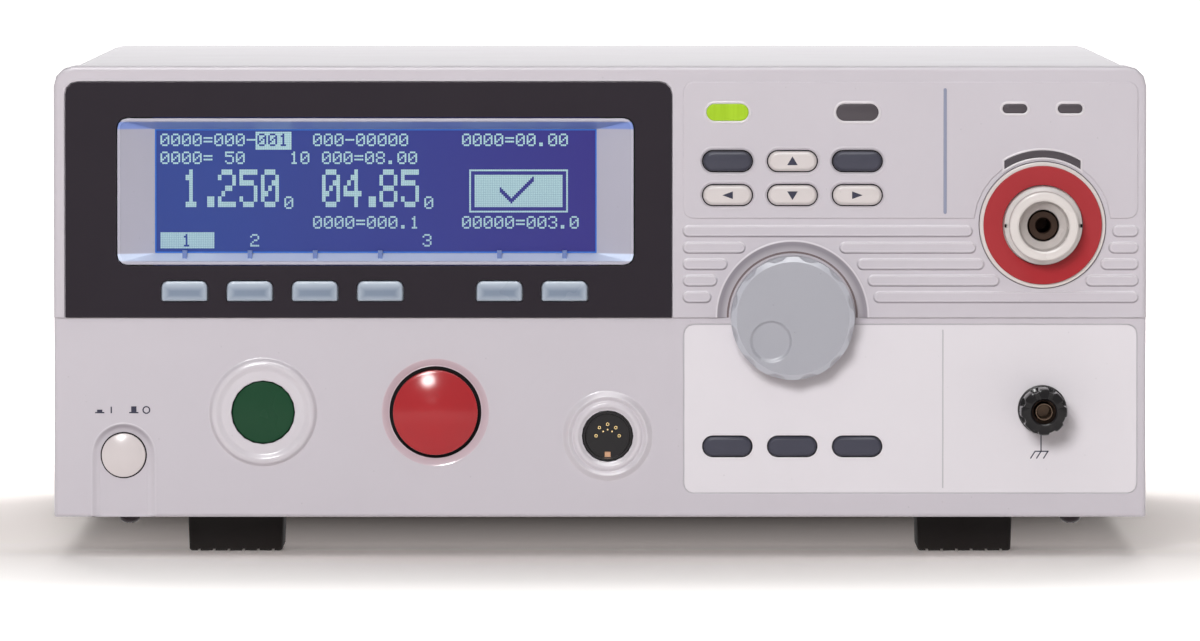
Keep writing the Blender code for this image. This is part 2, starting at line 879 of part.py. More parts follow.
def window_sides():
    """Left, right, bottom and top of the opening in front of the screen."""
    return (
        FRAME_LEFT + WINDOW_SIDE, FRAME_LEFT + FRAME_WIDTH - WINDOW_SIDE,
        FRAME_BOTTOM + WINDOW_ABOVE, FRAME_TOP - WINDOW_ABOVE,
    )


def lamp_shapes():
    """Name, centre, width and height of the bar lamps."""
    big = (BIG_LAMP_WIDTH, BIG_LAMP_HEIGHT)
    small = (SMALL_LAMP_WIDTH, SMALL_LAMP_HEIGHT)
    big_z, small_z = TOP_Z - BIG_LAMP_DROP, TOP_Z - SMALL_LAMP_DROP
    return [
        ("pass_lamp", (KEY_COLUMNS[0], big_z), *big),
        ("fail_lamp", (KEY_COLUMNS[2], big_z), *big),
        ("ready_lamp", (TERMINAL_X - SMALL_LAMP_SPREAD, small_z), *small),
        ("test_lamp", (TERMINAL_X + SMALL_LAMP_SPREAD, small_z), *small),
    ]


def arch_outline(border=0.0):
    """Arch round the power button, open at the bottom edge of the case."""
    radius = ARCH_HALF_WIDTH + border
    top = arc((POWER_X, POWER_Z), radius, 0, math.pi, SMALL)
    return top + [(POWER_X - radius, BASE_Z - PAST), (POWER_X + radius, BASE_Z - PAST)]


def rib_bars():
    """Centre and length of each length of rib, stopped short of the knob and the terminal."""
    stops = (
        (KNOB_X, KNOB_Z, KNOB_RADIUS + KNOB_RIB_BORDER),
        (TERMINAL_X, TERMINAL_Z, TERMINAL_FLANGE + TERMINAL_RIB_BORDER),
    )
    bars = []
    for row in range(RIB_COUNT):
        z = PANEL_BOTTOM - RIB_DROP - row * RIB_PITCH
        left = PANEL_LEFT
        for x, stop_z, radius in stops:
            if abs(z - stop_z) < radius:
                half_chord = math.sqrt(radius ** 2 - (z - stop_z) ** 2)
                bars.append((left, x - half_chord, z))
                left = x + half_chord
        bars.append((left, PANEL_RIGHT, z))
    return bars


def bezel_shell():
    """Outer skin of the front moulding: a full plate, and the proud upper section on it."""
    def whole(inset):
        radii = (BOTTOM_CORNER,) * 2 + (TOP_CORNER,) * 2
        return rounded_box(CASE_LEFT, CASE_RIGHT, BASE_Z, TOP_Z, radii, inset + HAIR)

    def upper(inset):
        radii = (LEAST_RADIUS,) * 2 + (TOP_CORNER - inset,) * 2
        return rounded_box(CASE_LEFT + inset, CASE_RIGHT - inset, STEP_Z, TOP_Z - inset, radii)

    base = loft(whole, rounded_front(LOWER_Y, BEZEL_EDGE) + [(0.0, BEZEL_BACK)])
    slab = loft(upper, rounded_front(UPPER_Y, BEZEL_EDGE) + [(0.0, LOWER_Y + BEZEL_EDGE + PAST)])
    return base, slab


def start_ring():
    """Moulded dish round the start button."""
    return turned((START_X, BUTTON_Z), [
        (0, LOWER_Y - START_DISH[1]), (START_DISH[0], LOWER_Y - START_DISH[1]),
        (START_CREST[0], LOWER_Y - START_CREST[1]), (START_SHOULDER[0], LOWER_Y - START_SHOULDER[1]),
        (START_RING, LOWER_Y),
        (START_RING, LOWER_Y + PAST), (0, LOWER_Y + PAST),
    ], FINE)


def remote_ring():
    """Two moulded rings round the remote socket."""
    crests = [(radius, LOWER_Y - rise) for radius, rise in REMOTE_CRESTS]
    return turned((REMOTE_X, REMOTE_Z), [(0, crests[0][1])] + crests + [
        (REMOTE_RING, LOWER_Y), (REMOTE_RING, LOWER_Y + PAST), (0, LOWER_Y + PAST),
    ], MEDIUM)


def board_bosses():
    """Places of the pillars that carry the front circuit board."""
    left, right = CASE_LEFT + BOSS_SIDE, PANEL_LEFT - BOSS_GAP
    high, low = TOP_Z - BOSS_TOP, STEP_Z + BOSS_STEP
    side = KEY_COLUMNS[2] + BOSS_KEY_SIDE
    corners = [(left, high), (left, low), (right, high), (right, low)]
    return corners + [(side, TOP_Z - BOSS_KEY_DROP), (side, BASE_Z + BOSS_KEY_RISE)]


def wall_openings():
    """Every hole that goes right through the front wall."""
    holes = [frame_outline(-GAP)]
    holes += [soft_key_outline(centre, -GAP) for centre in soft_key_centres()]
    holes += [key_outline(centre, -GAP) for centre in navigation_key_centres() + function_key_centres()]
    holes += [stadium(centre, width, height, -GAP) for _, centre, width, height in lamp_shapes()]
    holes.append(arc_lamp_outline(GAP))
    rounds = (
        (TERMINAL_X, TERMINAL_Z, BARREL_RADIUS + GAP),
        (KNOB_X, KNOB_Z, BUSH_RADIUS + GAP),
        (TERMINAL_X, POST_Z, POST_BUSH + GAP),
        (START_X, BUTTON_Z, START_RADIUS + GAP),
        (STOP_X, BUTTON_Z, STOP_HOLE),
        (REMOTE_X, REMOTE_Z, REMOTE_RADIUS + GAP),
        (POWER_X, POWER_Z, POWER_RADIUS + GAP),
    )
    holes += [circle((x, z), radius) for x, z, radius in rounds]
    return holes


def front_bezel():
    """Front moulding with its proud upper section, ribs, rings, recesses and holes."""
    base, slab = bezel_shell()
    bezel = piece("front_bezel", base, case_plastic())
    add(bezel, slab)
    cut(bezel, knob_recess())
    add(bezel, raised_panel())
    ribs = [
        stadium(((left + right) / 2, z), right - left, RIB_HEIGHT)
        for left, right, z in rib_bars()
    ]
    add(bezel, prism(ribs, UPPER_Y - RIB_PROUD, UPPER_Y + UPPER_STEP / 2))
    add(bezel, together([start_ring(), remote_ring()]))
    pocket = plain_box(CASE_LEFT, CASE_RIGHT, BASE_Z, TOP_Z, TOP_CORNER, BEZEL_WALL)
    cut(bezel, prism([pocket], WALL_BACK, BEZEL_BACK + PAST))
    bosses = [
        rod((x, WALL_BACK - PAST, z), (x, FRONT_BOARD_Y - GAP, z), BOSS_RADIUS, HEXAGON)
        for x, z in board_bosses()
    ]
    add(bezel, together(bosses))
    wells = [
        stadium(centre, KEY_WIDTH, KEY_HEIGHT, -KEY_RECESS_BORDER)
        for centre in navigation_key_centres()
    ]
    cut(bezel, together([
        fascia_recess(), overlay_recess(), prism([arch_outline()], LOWER_Y - PAST, LOWER_Y + ARCH_DEPTH),
        prism(wells, PANEL_Y - PAST, PANEL_Y + KEY_RECESS_DEPTH), stop_recess(),
    ]))
    cut(bezel, prism(wall_openings(), UPPER_Y - WALL_CUT, WALL_BACK + PAST))
    return bezel


def raised_panel():
    """Thin plateau behind the keys and lamps, stopped by an arc round the terminal."""
    outline = plain_box(PANEL_LEFT, PANEL_RIGHT, PANEL_BOTTOM, PANEL_TOP, PANEL_CORNER)
    radius = TERMINAL_FLANGE + PANEL_ARC_BORDER
    drop = TERMINAL_Z - PANEL_BOTTOM
    dip = math.asin(-drop / radius)
    notch = arc((TERMINAL_X, TERMINAL_Z), radius, math.pi - dip, dip, FINE // 2)
    corner_points = END_STEPS + 1
    left_corner, rest = outline[:corner_points], outline[corner_points:]
    return prism([left_corner + notch + rest], PANEL_Y, UPPER_Y + UPPER_STEP / 2)


def fascia_outline(inset=0.0, bottom=STEP_Z):
    radii = (LEAST_RADIUS,) * 2 + (FASCIA_CORNER - inset,) * 2
    return rounded_box(FASCIA_LEFT + inset, FASCIA_RIGHT - inset, bottom, FASCIA_TOP - inset, radii)


def fascia_recess():
    """Shallow seat of the dark plate, open at the step below it."""
    return prism([fascia_outline(0.0, STEP_Z - PAST)], UPPER_Y - PAST, LOWER_Y - HAIR)


def overlay_outline(inset=0.0):
    return plain_box(PANEL_LEFT, PANEL_RIGHT, OVERLAY_BOTTOM, OVERLAY_TOP, OVERLAY_CORNER, inset)


def overlay_recess():
    """Shallow seat of the lower overlay."""
    return prism([overlay_outline()], LOWER_Y - PAST, LOWER_Y + OVERLAY_THICKNESS + GAP)


def knob_recess():
    """Sloping half ring in the proud upper section, round the knob."""
    inner = KNOB_RADIUS + KNOB_RING_GAP
    outer = inner + KNOB_RING_SLOPE
    slope = (outer - inner) / UPPER_STEP
    return turned((KNOB_X, KNOB_Z), [
        (0, UPPER_Y - PAST), (outer + slope * PAST, UPPER_Y - PAST),
        (inner, LOWER_Y - HAIR), (0, LOWER_Y - HAIR),
    ])


def stop_recess():
    """Sloping ring round the stop button."""
    floor = STOP_HOLE + GAP
    slope = (STOP_RING - floor) / STOP_SLOPE
    return turned((STOP_X, BUTTON_Z), [
        (0, LOWER_Y - PAST), (STOP_RING + slope * PAST, LOWER_Y - PAST),
        (floor, LOWER_Y + STOP_SLOPE), (0, LOWER_Y + STOP_SLOPE),
    ])


def display_fascia():
    """Dark plate with the screen opening and the soft key holes."""
    holes = [frame_outline(-GAP)] + [soft_key_outline(centre, -GAP) for centre in soft_key_centres()]
    thickness_end = LOWER_Y - HAIR - GAP
    return piece(
        "display_fascia", prism([fascia_outline(GAP)] + holes, UPPER_Y, thickness_end), fascia_black(),
    )


def display_frame():
    """Funnel that slopes in from the fascia to the screen, with a tick over each soft key."""
    back = UPPER_Y + FRAME_DEPTH
    frame = piece(
        "display_frame", loft(frame_outline, rounded_front(UPPER_Y, GAP, 2) + [(0.0, back)]), frame_grey(),
    )
    left, right, bottom, top = window_sides()
    mouth = frame_outline(FRAME_RIM)
    window = plain_box(left, right, bottom, top)
    rings = [
        (mouth, UPPER_Y - PAST), (mouth, UPPER_Y + GAP),
        (window, back - FRAME_LIP), (window, back + PAST),
    ]
    cut(frame, skin([[(x, place, z) for x, z in outline] for outline, place in rings]))
    ticks = [
        block(
            (x - TICK_WIDTH / 2, back - TICK_DEPTH, FRAME_BOTTOM + FRAME_RIM),
            (x + TICK_WIDTH / 2, back - PAST, bottom + TICK_HEIGHT / 2),
        )
        for x, _ in soft_key_centres()
    ]
    add(frame, together(ticks))
    return frame


def screen_module():
    """Glass on its carrier board, behind the frame."""
    left, right, bottom, top = window_sides()

    def outline(inset):
        return plain_box(left, right, bottom, top, LEAST_RADIUS, inset, steps=1)

    glass_back = MODULE_FRONT + GLASS_THICKNESS
    profile = [
        (-GLASS_BORDER, MODULE_FRONT), (-GLASS_BORDER, glass_back),
        (-MODULE_BORDER, glass_back), (-MODULE_BORDER, MODULE_BACK),
    ]
    return piece("screen_module", loft(outline, profile), screen_blue())


def key(name, outline, centre, face, material):
    """Pressed key: rounded cap, and a body behind the wall that reaches towards the board."""
    profile = rounded_front(face, KEY_EDGE, 2) + [
        (0.0, LIP_FRONT), (-KEY_LIP, LIP_FRONT), (-KEY_LIP, FRONT_BOARD_Y - GAP - KEY_TRAVEL),
    ]
    mesh = loft(lambda inset: outline(centre, inset), profile)
    return piece(name, mesh, material, pivot=(centre[0], face, centre[1]))


def keys():
    """All keys of the front."""
    for index, centre in enumerate(soft_key_centres()):
        key(f"soft_key_{index + 1}", soft_key_outline, centre, UPPER_Y - KEY_PROUD, soft_key_blue())
    navigation = (
        ("escape_key", dark_key), ("up_key", cream_key), ("page_key", dark_key),
        ("left_key", cream_key), ("down_key", cream_key), ("right_key", cream_key),
    )
    for (name, colour), centre in zip(navigation, navigation_key_centres()):
        key(name, key_outline, centre, PANEL_Y - KEY_PROUD, colour())
    for name, centre in zip(("mode_key", "edit_key", "utility_key"), function_key_centres()):
        key(name, key_outline, centre, LOWER_Y - FUNCTION_KEY_PROUD, dark_key())


def arc_lamp_outline(border=0.0):
    """Curved bar over the terminal."""
    return ring_bar(
        (TERMINAL_X, TERMINAL_Z), ARC_LAMP_INNER - border, ARC_LAMP_OUTER + border,
        ARC_LAMP_HALF_WIDTH + border,
    )


def lamps():
    """Light windows that reach back to the board."""
    pipe_back = FRONT_BOARD_Y - GAP
    face = PANEL_Y - LAMP_PROUD
    for name, centre, width, height in lamp_shapes():
        profile = rounded_front(face, LAMP_PROUD, 1) + [
            (0.0, LIP_FRONT), (-LAMP_LIP, LIP_FRONT), (-LAMP_LIP, pipe_back),
        ]
        mesh = loft(lambda inset: stadium(centre, width, height, inset), profile)
        piece(name, mesh, lamp_green() if name == "pass_lamp" else lamp_dark())
    piece("high_voltage_lamp", prism([arc_lamp_outline()], face, pipe_back), lamp_dark())


def overlay_panel():
    """Thin sheet on the lower right of the front."""
    holes = [key_outline(centre, -GAP) for centre in function_key_centres()]
    holes.append(circle((TERMINAL_X, POST_Z), POST_BUSH + GAP))
    sheet = piece(
        "overlay_panel",
        prism([overlay_outline(GAP)] + holes, LOWER_Y, LOWER_Y + OVERLAY_THICKNESS), overlay_white(),
    )
    near, far = LOWER_Y - PAST, LOWER_Y + 2 * PAST
    cut(sheet, rod((KNOB_X, near, KNOB_Z), (KNOB_X, far, KNOB_Z), BUSH_RADIUS + PAST, COARSE))
    return sheet


def knob():
    """Turned knob with scallops in its bevel, a finger dimple and a blind bore."""
    back = LOWER_Y - KNOB_LIFT
    front = back - KNOB_LENGTH
    bore = SHAFT_RADIUS + GAP
    wheel = piece("knob", turned((KNOB_X, KNOB_Z), [
        (0, front), (KNOB_FACE_RADIUS, front), (KNOB_RADIUS, front + KNOB_BEVEL),
        (KNOB_RADIUS, back), (bore, back), (bore, back - KNOB_BORE_DEPTH), (0, back - KNOB_BORE_DEPTH),
    ]), knob_grey(), pivot=(KNOB_X, back, KNOB_Z))
    balls = bmesh.new()
    ball_reach = KNOB_RADIUS + SCALLOP_RADIUS - SCALLOP_DEPTH
    for index in range(SCALLOP_COUNT):
        angle = 2 * math.pi * (index + 0.5) / SCALLOP_COUNT
        place = (KNOB_X + ball_reach * math.cos(angle), front, KNOB_Z + ball_reach * math.sin(angle))
        bmesh.ops.create_uvsphere(
            balls, u_segments=12, v_segments=8, radius=SCALLOP_RADIUS, matrix=Matrix.Translation(place),
        )
    cut(wheel, from_bmesh(balls))
    x = KNOB_X + DIMPLE_REACH * math.cos(DIMPLE_ANGLE)
    z = KNOB_Z + DIMPLE_REACH * math.sin(DIMPLE_ANGLE)
    bowl = dome(DIMPLE_RADIUS, DIMPLE_DEPTH * 0.7, 0.0)
    hollow = [(radius, front + DIMPLE_DEPTH - sag) for radius, sag in reversed(bowl)]
    cut(wheel, turned((x, z), [(0, front - PAST), (DIMPLE_RADIUS, front - PAST)] + hollow, ROUND))
    return wheel


def encoder():
    """Rotary encoder: body and bush on the front board, and the shaft that carries the knob."""
    knob_back = LOWER_Y - KNOB_LIFT
    bush_front = LOWER_Y + PAST
    body_back = FRONT_BOARD_Y - GAP
    body_front = body_back - ENCODER_THICKNESS
    bore = SHAFT_RADIUS + GAP
    body = piece("encoder_body", block(
        (KNOB_X - ENCODER_SIZE / 2, body_front, KNOB_Z - ENCODER_SIZE / 2),
        (KNOB_X + ENCODER_SIZE / 2, body_back, KNOB_Z + ENCODER_SIZE / 2),
    ), sheet_steel())
    add(body, rod((KNOB_X, bush_front, KNOB_Z), (KNOB_X, body_front + PAST, KNOB_Z), BUSH_RADIUS, COARSE))
    shaft_back = body_front + 2 * PAST
    cut(body, rod((KNOB_X, bush_front - PAST, KNOB_Z), (KNOB_X, shaft_back + GAP, KNOB_Z), bore, COARSE))
    front = knob_back - KNOB_BORE_DEPTH + GAP
    piece(
        "encoder_shaft", rod((KNOB_X, front, KNOB_Z), (KNOB_X, shaft_back, KNOB_Z), SHAFT_RADIUS, COARSE),
        bright_metal(), pivot=(KNOB_X, knob_back, KNOB_Z),
    )


def push_button(name, centre, radius, crown, crown_height, lip, lip_front, back, material, steps=ROUND):
    """Domed push button with a lip behind the wall and a stem to its switch."""
    face = dome(radius - BUTTON_EDGE, crown_height, crown)
    shoulder = face[-1][1] + BUTTON_EDGE
    mesh = turned(centre, face + [
        (radius, shoulder), (radius, lip_front), (radius + lip, lip_front),
        (radius + lip, lip_front + KEY_LIP_THICKNESS), (BUTTON_STEM, lip_front + KEY_LIP_THICKNESS),
        (BUTTON_STEM, back), (0, back),
    ], steps)
    return piece(name, mesh, material, pivot=(centre[0], crown, centre[1]))


def buttons():
    """Start, stop and power buttons, and the switches behind them."""
    stem_back = UPPER_Y + BUTTON_LENGTH
    push_button(
        "start_button", (START_X, BUTTON_Z), START_RADIUS, LOWER_Y - START_PROUD, START_DOME,
        BUTTON_LIP, LIP_FRONT, stem_back, button_green(),
    )
    push_button(
        "stop_button", (STOP_X, BUTTON_Z), STOP_RADIUS, LOWER_Y - STOP_PROUD - STOP_DOME, STOP_DOME,
        STOP_HOLE - STOP_RADIUS + BUTTON_LIP, LIP_FRONT, stem_back, button_red(), FINE,
    )
    power_lip = WALL_BACK + GAP + POWER_TRAVEL
    switch_front = stem_back + 2 * PAST
    push_button(
        "power_button", (POWER_X, POWER_Z), POWER_RADIUS, LOWER_Y - POWER_PROUD - POWER_DOME, POWER_DOME,
        BUTTON_LIP, power_lip, switch_front - GAP, cream_key(),
    )
    half = POWER_SWITCH_SIZE / 2
    piece("power_switch", block(
        (POWER_X - half, switch_front, POWER_Z - half), (POWER_X + half, CHASSIS_Y - GAP, POWER_Z + half),
    ), black_plastic())
    board_back = CHASSIS_Y - GAP
    board_front = board_back - BOARD_THICKNESS
    block_front = stem_back + BUTTON_TRAVEL + GAP
    half = SWITCH_SIZE / 2
    border = half + SWITCH_BOARD_BORDER
    board = piece("switch_board", block(
        (START_X - border, board_front, BUTTON_Z - border), (STOP_X + border, board_back, BUTTON_Z + border),
    ), board_green())
    bodies = [
        block((x - half, block_front, BUTTON_Z - half), (x + half, board_front + PAST / 2, BUTTON_Z + half))
        for x in (START_X, STOP_X)
    ]
    add(board, together(bodies))


def remote_socket():
    """Round socket: rim, sunk face with contact holes, and a key slot at the bottom."""
    front = LOWER_Y - SOCKET_PROUD
    face = front + SOCKET_SINK
    lip_back = LIP_FRONT + KEY_LIP_THICKNESS
    socket = piece("remote_socket", turned((REMOTE_X, REMOTE_Z), [
        (0, face), (REMOTE_RADIUS - SOCKET_RIM - SOCKET_RIM_SLOPE, face), (REMOTE_RADIUS - SOCKET_RIM, front),
        (REMOTE_RADIUS, front), (REMOTE_RADIUS, LIP_FRONT), (REMOTE_RADIUS + BUTTON_LIP, LIP_FRONT),
        (REMOTE_RADIUS + BUTTON_LIP, lip_back), (REMOTE_RADIUS, lip_back),
        (REMOTE_RADIUS, front + REMOTE_LENGTH), (0, front + REMOTE_LENGTH),
    ], ROUND), black_plastic())
    pins = []
    for index in range(REMOTE_PINS):
        angle = math.pi * index / (REMOTE_PINS - 1)
        x = REMOTE_X + REMOTE_PIN_CIRCLE * math.cos(angle)
        z = REMOTE_Z + REMOTE_PIN_CIRCLE * math.sin(angle)
        pins.append(rod((x, face - PAST, z), (x, face + REMOTE_PIN_DEPTH, z), REMOTE_PIN_HOLE, HEXAGON))
    slot_bottom = REMOTE_Z - REMOTE_RADIUS + REMOTE_KEY_INSET
    half = REMOTE_KEY_WIDTH / 2
    pins.append(block(
        (REMOTE_X - half, face - PAST, slot_bottom),
        (REMOTE_X + half, face + REMOTE_KEY_DEPTH, slot_bottom + REMOTE_KEY_HEIGHT),
    ))
    cut(socket, together(pins))
    return socket


def high_voltage_terminal():
    """Insulated high-voltage socket: body with its collar, red ring and inner contact."""
    centre = (TERMINAL_X, TERMINAL_Z)
    flange_back = UPPER_Y - GAP
    flange_front = flange_back - TERMINAL_FLANGE_THICKNESS
    front = UPPER_Y - COLLAR_LENGTH
    sink = front + CONTACT_SINK
    back = UPPER_Y + BARREL_LENGTH
    hole_back = back - BARREL_END
    step = front + COLLAR_STEP
    piece("hv_terminal_body", turned(centre, [
        (COLLAR_BORE, front), (COLLAR_FRONT_RADIUS - COLLAR_EDGE, front),
        (COLLAR_FRONT_RADIUS, front + COLLAR_EDGE), (COLLAR_FRONT_RADIUS, step),
        (COLLAR_RADIUS, step + COLLAR_STEP_SLOPE), (COLLAR_RADIUS, flange_front),
        (TERMINAL_FLANGE, flange_front), (TERMINAL_FLANGE, flange_back), (BARREL_RADIUS, flange_back),
        (BARREL_RADIUS, back), (0, back), (0, hole_back), (CONTACT_HOLE, hole_back), (CONTACT_HOLE, sink),
        (COLLAR_BORE - COLLAR_TAPER, sink - CONTACT_CHAMFER), (COLLAR_BORE, front),
    ]), cream_key())
    ring_inner = COLLAR_RADIUS + GAP
    ring_back = flange_front - GAP
    ring_front = ring_back - RING_THICKNESS
    piece("hv_terminal_ring", turned(centre, [
        (ring_inner, ring_front), (RING_OUTER, ring_front), (RING_OUTER, ring_back), (ring_inner, ring_back),
    ], ring=True), ring_red())
    contact_outer = CONTACT_HOLE - GAP
    contact_front = sink + PAST
    contact_back = hole_back - GAP
    piece("hv_contact", turned(centre, [
        (CONTACT_BORE, contact_front), (contact_outer, contact_front), (contact_outer, contact_back),
        (0, contact_back), (0, contact_back - CONTACT_FLOOR), (CONTACT_BORE, contact_back - CONTACT_FLOOR),
        (CONTACT_BORE, contact_front),
    ], COARSE), brass())


def return_post():
    """Binding post: insulating base, stud with a plug bore, threaded insert and scalloped cap."""
    centre = (TERMINAL_X, POST_Z)
    bore = STUD_RADIUS + GAP
    flange_front = LOWER_Y - POST_FLANGE_THICKNESS
    bush_back = WALL_BACK + POST_BUSH_REACH
    piece("return_base", turned(centre, [
        (bore, flange_front), (POST_FLANGE - POST_EDGE, flange_front),
        (POST_FLANGE, flange_front + POST_EDGE),
        (POST_FLANGE, LOWER_Y - GAP), (POST_BUSH, LOWER_Y - GAP), (POST_BUSH, bush_back), (bore, bush_back),
    ], ROUND, ring=True), black_plastic())
    cap_back = flange_front - GAP
    cap_front = cap_back - CAP_LENGTH
    insert_bore = INSERT_RADIUS + GAP
    insert_front = cap_front + CAP_FRONT_DEPTH
    stud_front = cap_front + STUD_SINK
    piece("return_stud", turned(centre, [
        (STUD_BORE, stud_front), (STUD_RADIUS - GAP, stud_front), (STUD_RADIUS, stud_front + GAP),
        (STUD_RADIUS, UPPER_Y + STUD_REAR), (0, UPPER_Y + STUD_REAR),
        (0, stud_front + STUD_BORE_DEPTH), (STUD_BORE, stud_front + STUD_BORE_DEPTH), (STUD_BORE, stud_front),
    ], COARSE), bright_metal())
    pivot = (TERMINAL_X, cap_back, POST_Z)
    piece("return_insert", turned(centre, [
        (bore, insert_front + GAP), (INSERT_RADIUS, insert_front + GAP), (INSERT_RADIUS, cap_back),
        (bore, cap_back),
    ], COARSE, ring=True), brass(), pivot=pivot)
    cap = piece("return_cap", turned(centre, [
        (CAP_FRONT_BORE, cap_front), (CAP_RADIUS - CAP_EDGE, cap_front), (CAP_RADIUS, cap_front + CAP_EDGE),
        (CAP_RADIUS, cap_back - CAP_BACK_EDGE), (CAP_RADIUS - CAP_BACK_EDGE, cap_back),
        (insert_bore, cap_back),
        (insert_bore, insert_front), (CAP_FRONT_BORE, insert_front),
    ], ROUND, ring=True), black_plastic(), pivot=pivot)
    grooves = []
    reach = CAP_RADIUS + CAP_SCALLOP_RADIUS / 3
    for index in range(CAP_SCALLOPS):
        angle = 2 * math.pi * (index + 0.5) / CAP_SCALLOPS
        x, z = TERMINAL_X + reach * math.cos(angle), POST_Z + reach * math.sin(angle)
        grooves.append(rod((x, cap_front - PAST, z), (x, cap_back - CAP_SKIRT, z), CAP_SCALLOP_RADIUS, SMALL))
    cut(cap, together(grooves))
    return cap


def front_board():
    """Circuit board behind the screen and the keys."""
    left, right = CASE_LEFT + FRONT_BOARD_SIDE, CASE_RIGHT - FRONT_BOARD_SIDE
    top, bottom = TOP_Z - FRONT_BOARD_TOP, STEP_Z + FRONT_BOARD_STEP
    tab_left, tab_right = PANEL_LEFT + FRONT_BOARD_TAB[0], KEY_COLUMNS[2] + FRONT_BOARD_TAB[1]
    tab_bottom = BASE_Z + FRONT_BOARD_TAB_RISE
    shelf = TERMINAL_Z + BARREL_RADIUS + FRONT_BOARD_CLEAR
    side = TERMINAL_X - BARREL_RADIUS - FRONT_BOARD_CLEAR
    outline = [
        (left, bottom), (tab_left, bottom), (tab_left, tab_bottom), (tab_right, tab_bottom),
        (tab_right, bottom), (side, bottom), (side, shelf), (right, shelf), (right, top), (left, top),
    ]
    return piece(
        "front_board", prism([outline], FRONT_BOARD_Y, FRONT_BOARD_Y + BOARD_THICKNESS), board_green(),
    )


def case_span(border):
    """Left and right of what stands inside the case sides."""
    inner = CASE_RIGHT - COVER_SIDE_INSET - SHEET
    return -inner + border, inner - border


def front_chassis():
    """Steel plate behind the moulding, which holds the switches and lets the terminals through."""
    left, right = case_span(2 * GAP + SHEET)
    top = TOP_Z - COVER_TOP_INSET - SHEET - GAP
    outline = rounded_box(
        left, right, FLOOR_Z + GAP, top, (LEAST_RADIUS,) * 2 + (COVER_CORNER,) * 2,
    )
    holes = [
        circle((TERMINAL_X, TERMINAL_Z), BARREL_RADIUS + GAP),
        circle((TERMINAL_X, POST_Z), STUD_RADIUS + GAP, SMALL),
        circle((REMOTE_X, REMOTE_Z), REMOTE_RADIUS, COARSE),
        stadium((KNOB_X, STEP_Z + CABLE_SLOT_RISE), CABLE_SLOT_WIDTH, CABLE_SLOT_HEIGHT),
    ]
    sheet = prism([outline] + holes, CHASSIS_Y, CHASSIS_Y + CHASSIS_SHEET)
    return piece("front_chassis", sheet, sheet_steel())


def bent_sheet(side, edge, corner, free_edge):
    """U outline of bent sheet: half width, height of the closed side, bend radius and free edge height."""
    direction = 1 if edge > free_edge else -1
    centre = (side - corner, edge - direction * corner)
    quarter = direction * math.pi / 2
    outer = [(side, free_edge)] + arc(centre, corner, 0, quarter, END_STEPS)
    inner = [(side - SHEET, free_edge)] + arc(centre, corner - SHEET, 0, quarter, END_STEPS)
    other_outer = [(-x, z) for x, z in reversed(outer)]
    other_inner = [(-x, z) for x, z in inner]
    return outer + other_outer + other_inner + inner[::-1]


def top_cover():
    """Bent sheet cover over the top and both sides, with air slots low on each side."""
    side = CASE_RIGHT - COVER_SIDE_INSET
    top = TOP_Z - COVER_TOP_INSET
    outline = bent_sheet(side, top, COVER_CORNER, BASE_Z + COVER_RISE)
    cover = piece("top_cover", prism([outline], CASE_FRONT, CASE_BACK), cover_paint())
    low = BASE_Z + VENT_RISE
    slots = []
    for index in range(VENT_COUNT):
        y = CASE_BACK - VENT_REAR - index * VENT_PITCH
        slots.append(plain_box(
            y - VENT_WIDTH / 2, y + VENT_WIDTH / 2, low, low + VENT_HEIGHT, 0.4 * VENT_WIDTH, steps=1,
        ))
    for sign in (-1, 1):
        ends = sorted((sign * (side - SHEET - PAST), sign * (side + PAST)))
        cut(cover, prism(slots, ends[0], ends[1], axis="X"))
    return cover


def standoff_places():
    """Corners of the main board, where it stands on its pillars."""
    left, right, front, back = main_board_sides()
    inset = STANDOFF_INSET
    return [
        (x, y) for x in (left + inset, right - inset) for y in (front + inset, back - 3 * inset)
    ]


def chassis_tray():
    """Bent steel floor with low flanges and the pillars of the main board."""
    outline = bent_sheet(
        CASE_RIGHT - COVER_SIDE_INSET - SHEET - GAP, TRAY_Z, SHEET + 2 * LEAST_RADIUS, TRAY_Z + TRAY_FLANGE,
    )
    tray = piece("chassis_tray", prism([outline], CASE_FRONT, CASE_BACK), sheet_steel())
    pillars = [
        rod((x, y, FLOOR_Z - SHEET / 2), (x, y, FLOOR_Z + BOARD_RISE - GAP), STANDOFF_RADIUS, SMALL)
        for x, y in standoff_places()
    ]
    add(tray, together(pillars))
    return tray


def foot_block(x, near, far):
    """Tapered foot, wider at the top."""
    levels = (
        (FOOT_SOLE_WIDTH / 2 - SOLE_EDGE, 0.0, SOLE_INSET), (FOOT_SOLE_WIDTH / 2, SOLE_EDGE, SOLE_SIDE_INSET),
        (FOOT_TOP_WIDTH / 2, TRAY_Z - GAP, 0.0),
    )
    rings = []
    for half, z, inset in levels:
        outline = plain_box(x - half, x + half, near + inset, far - inset, FOOT_CORNER, steps=2)
        rings.append([(across, along, z) for across, along in outline])
    return skin(rings)


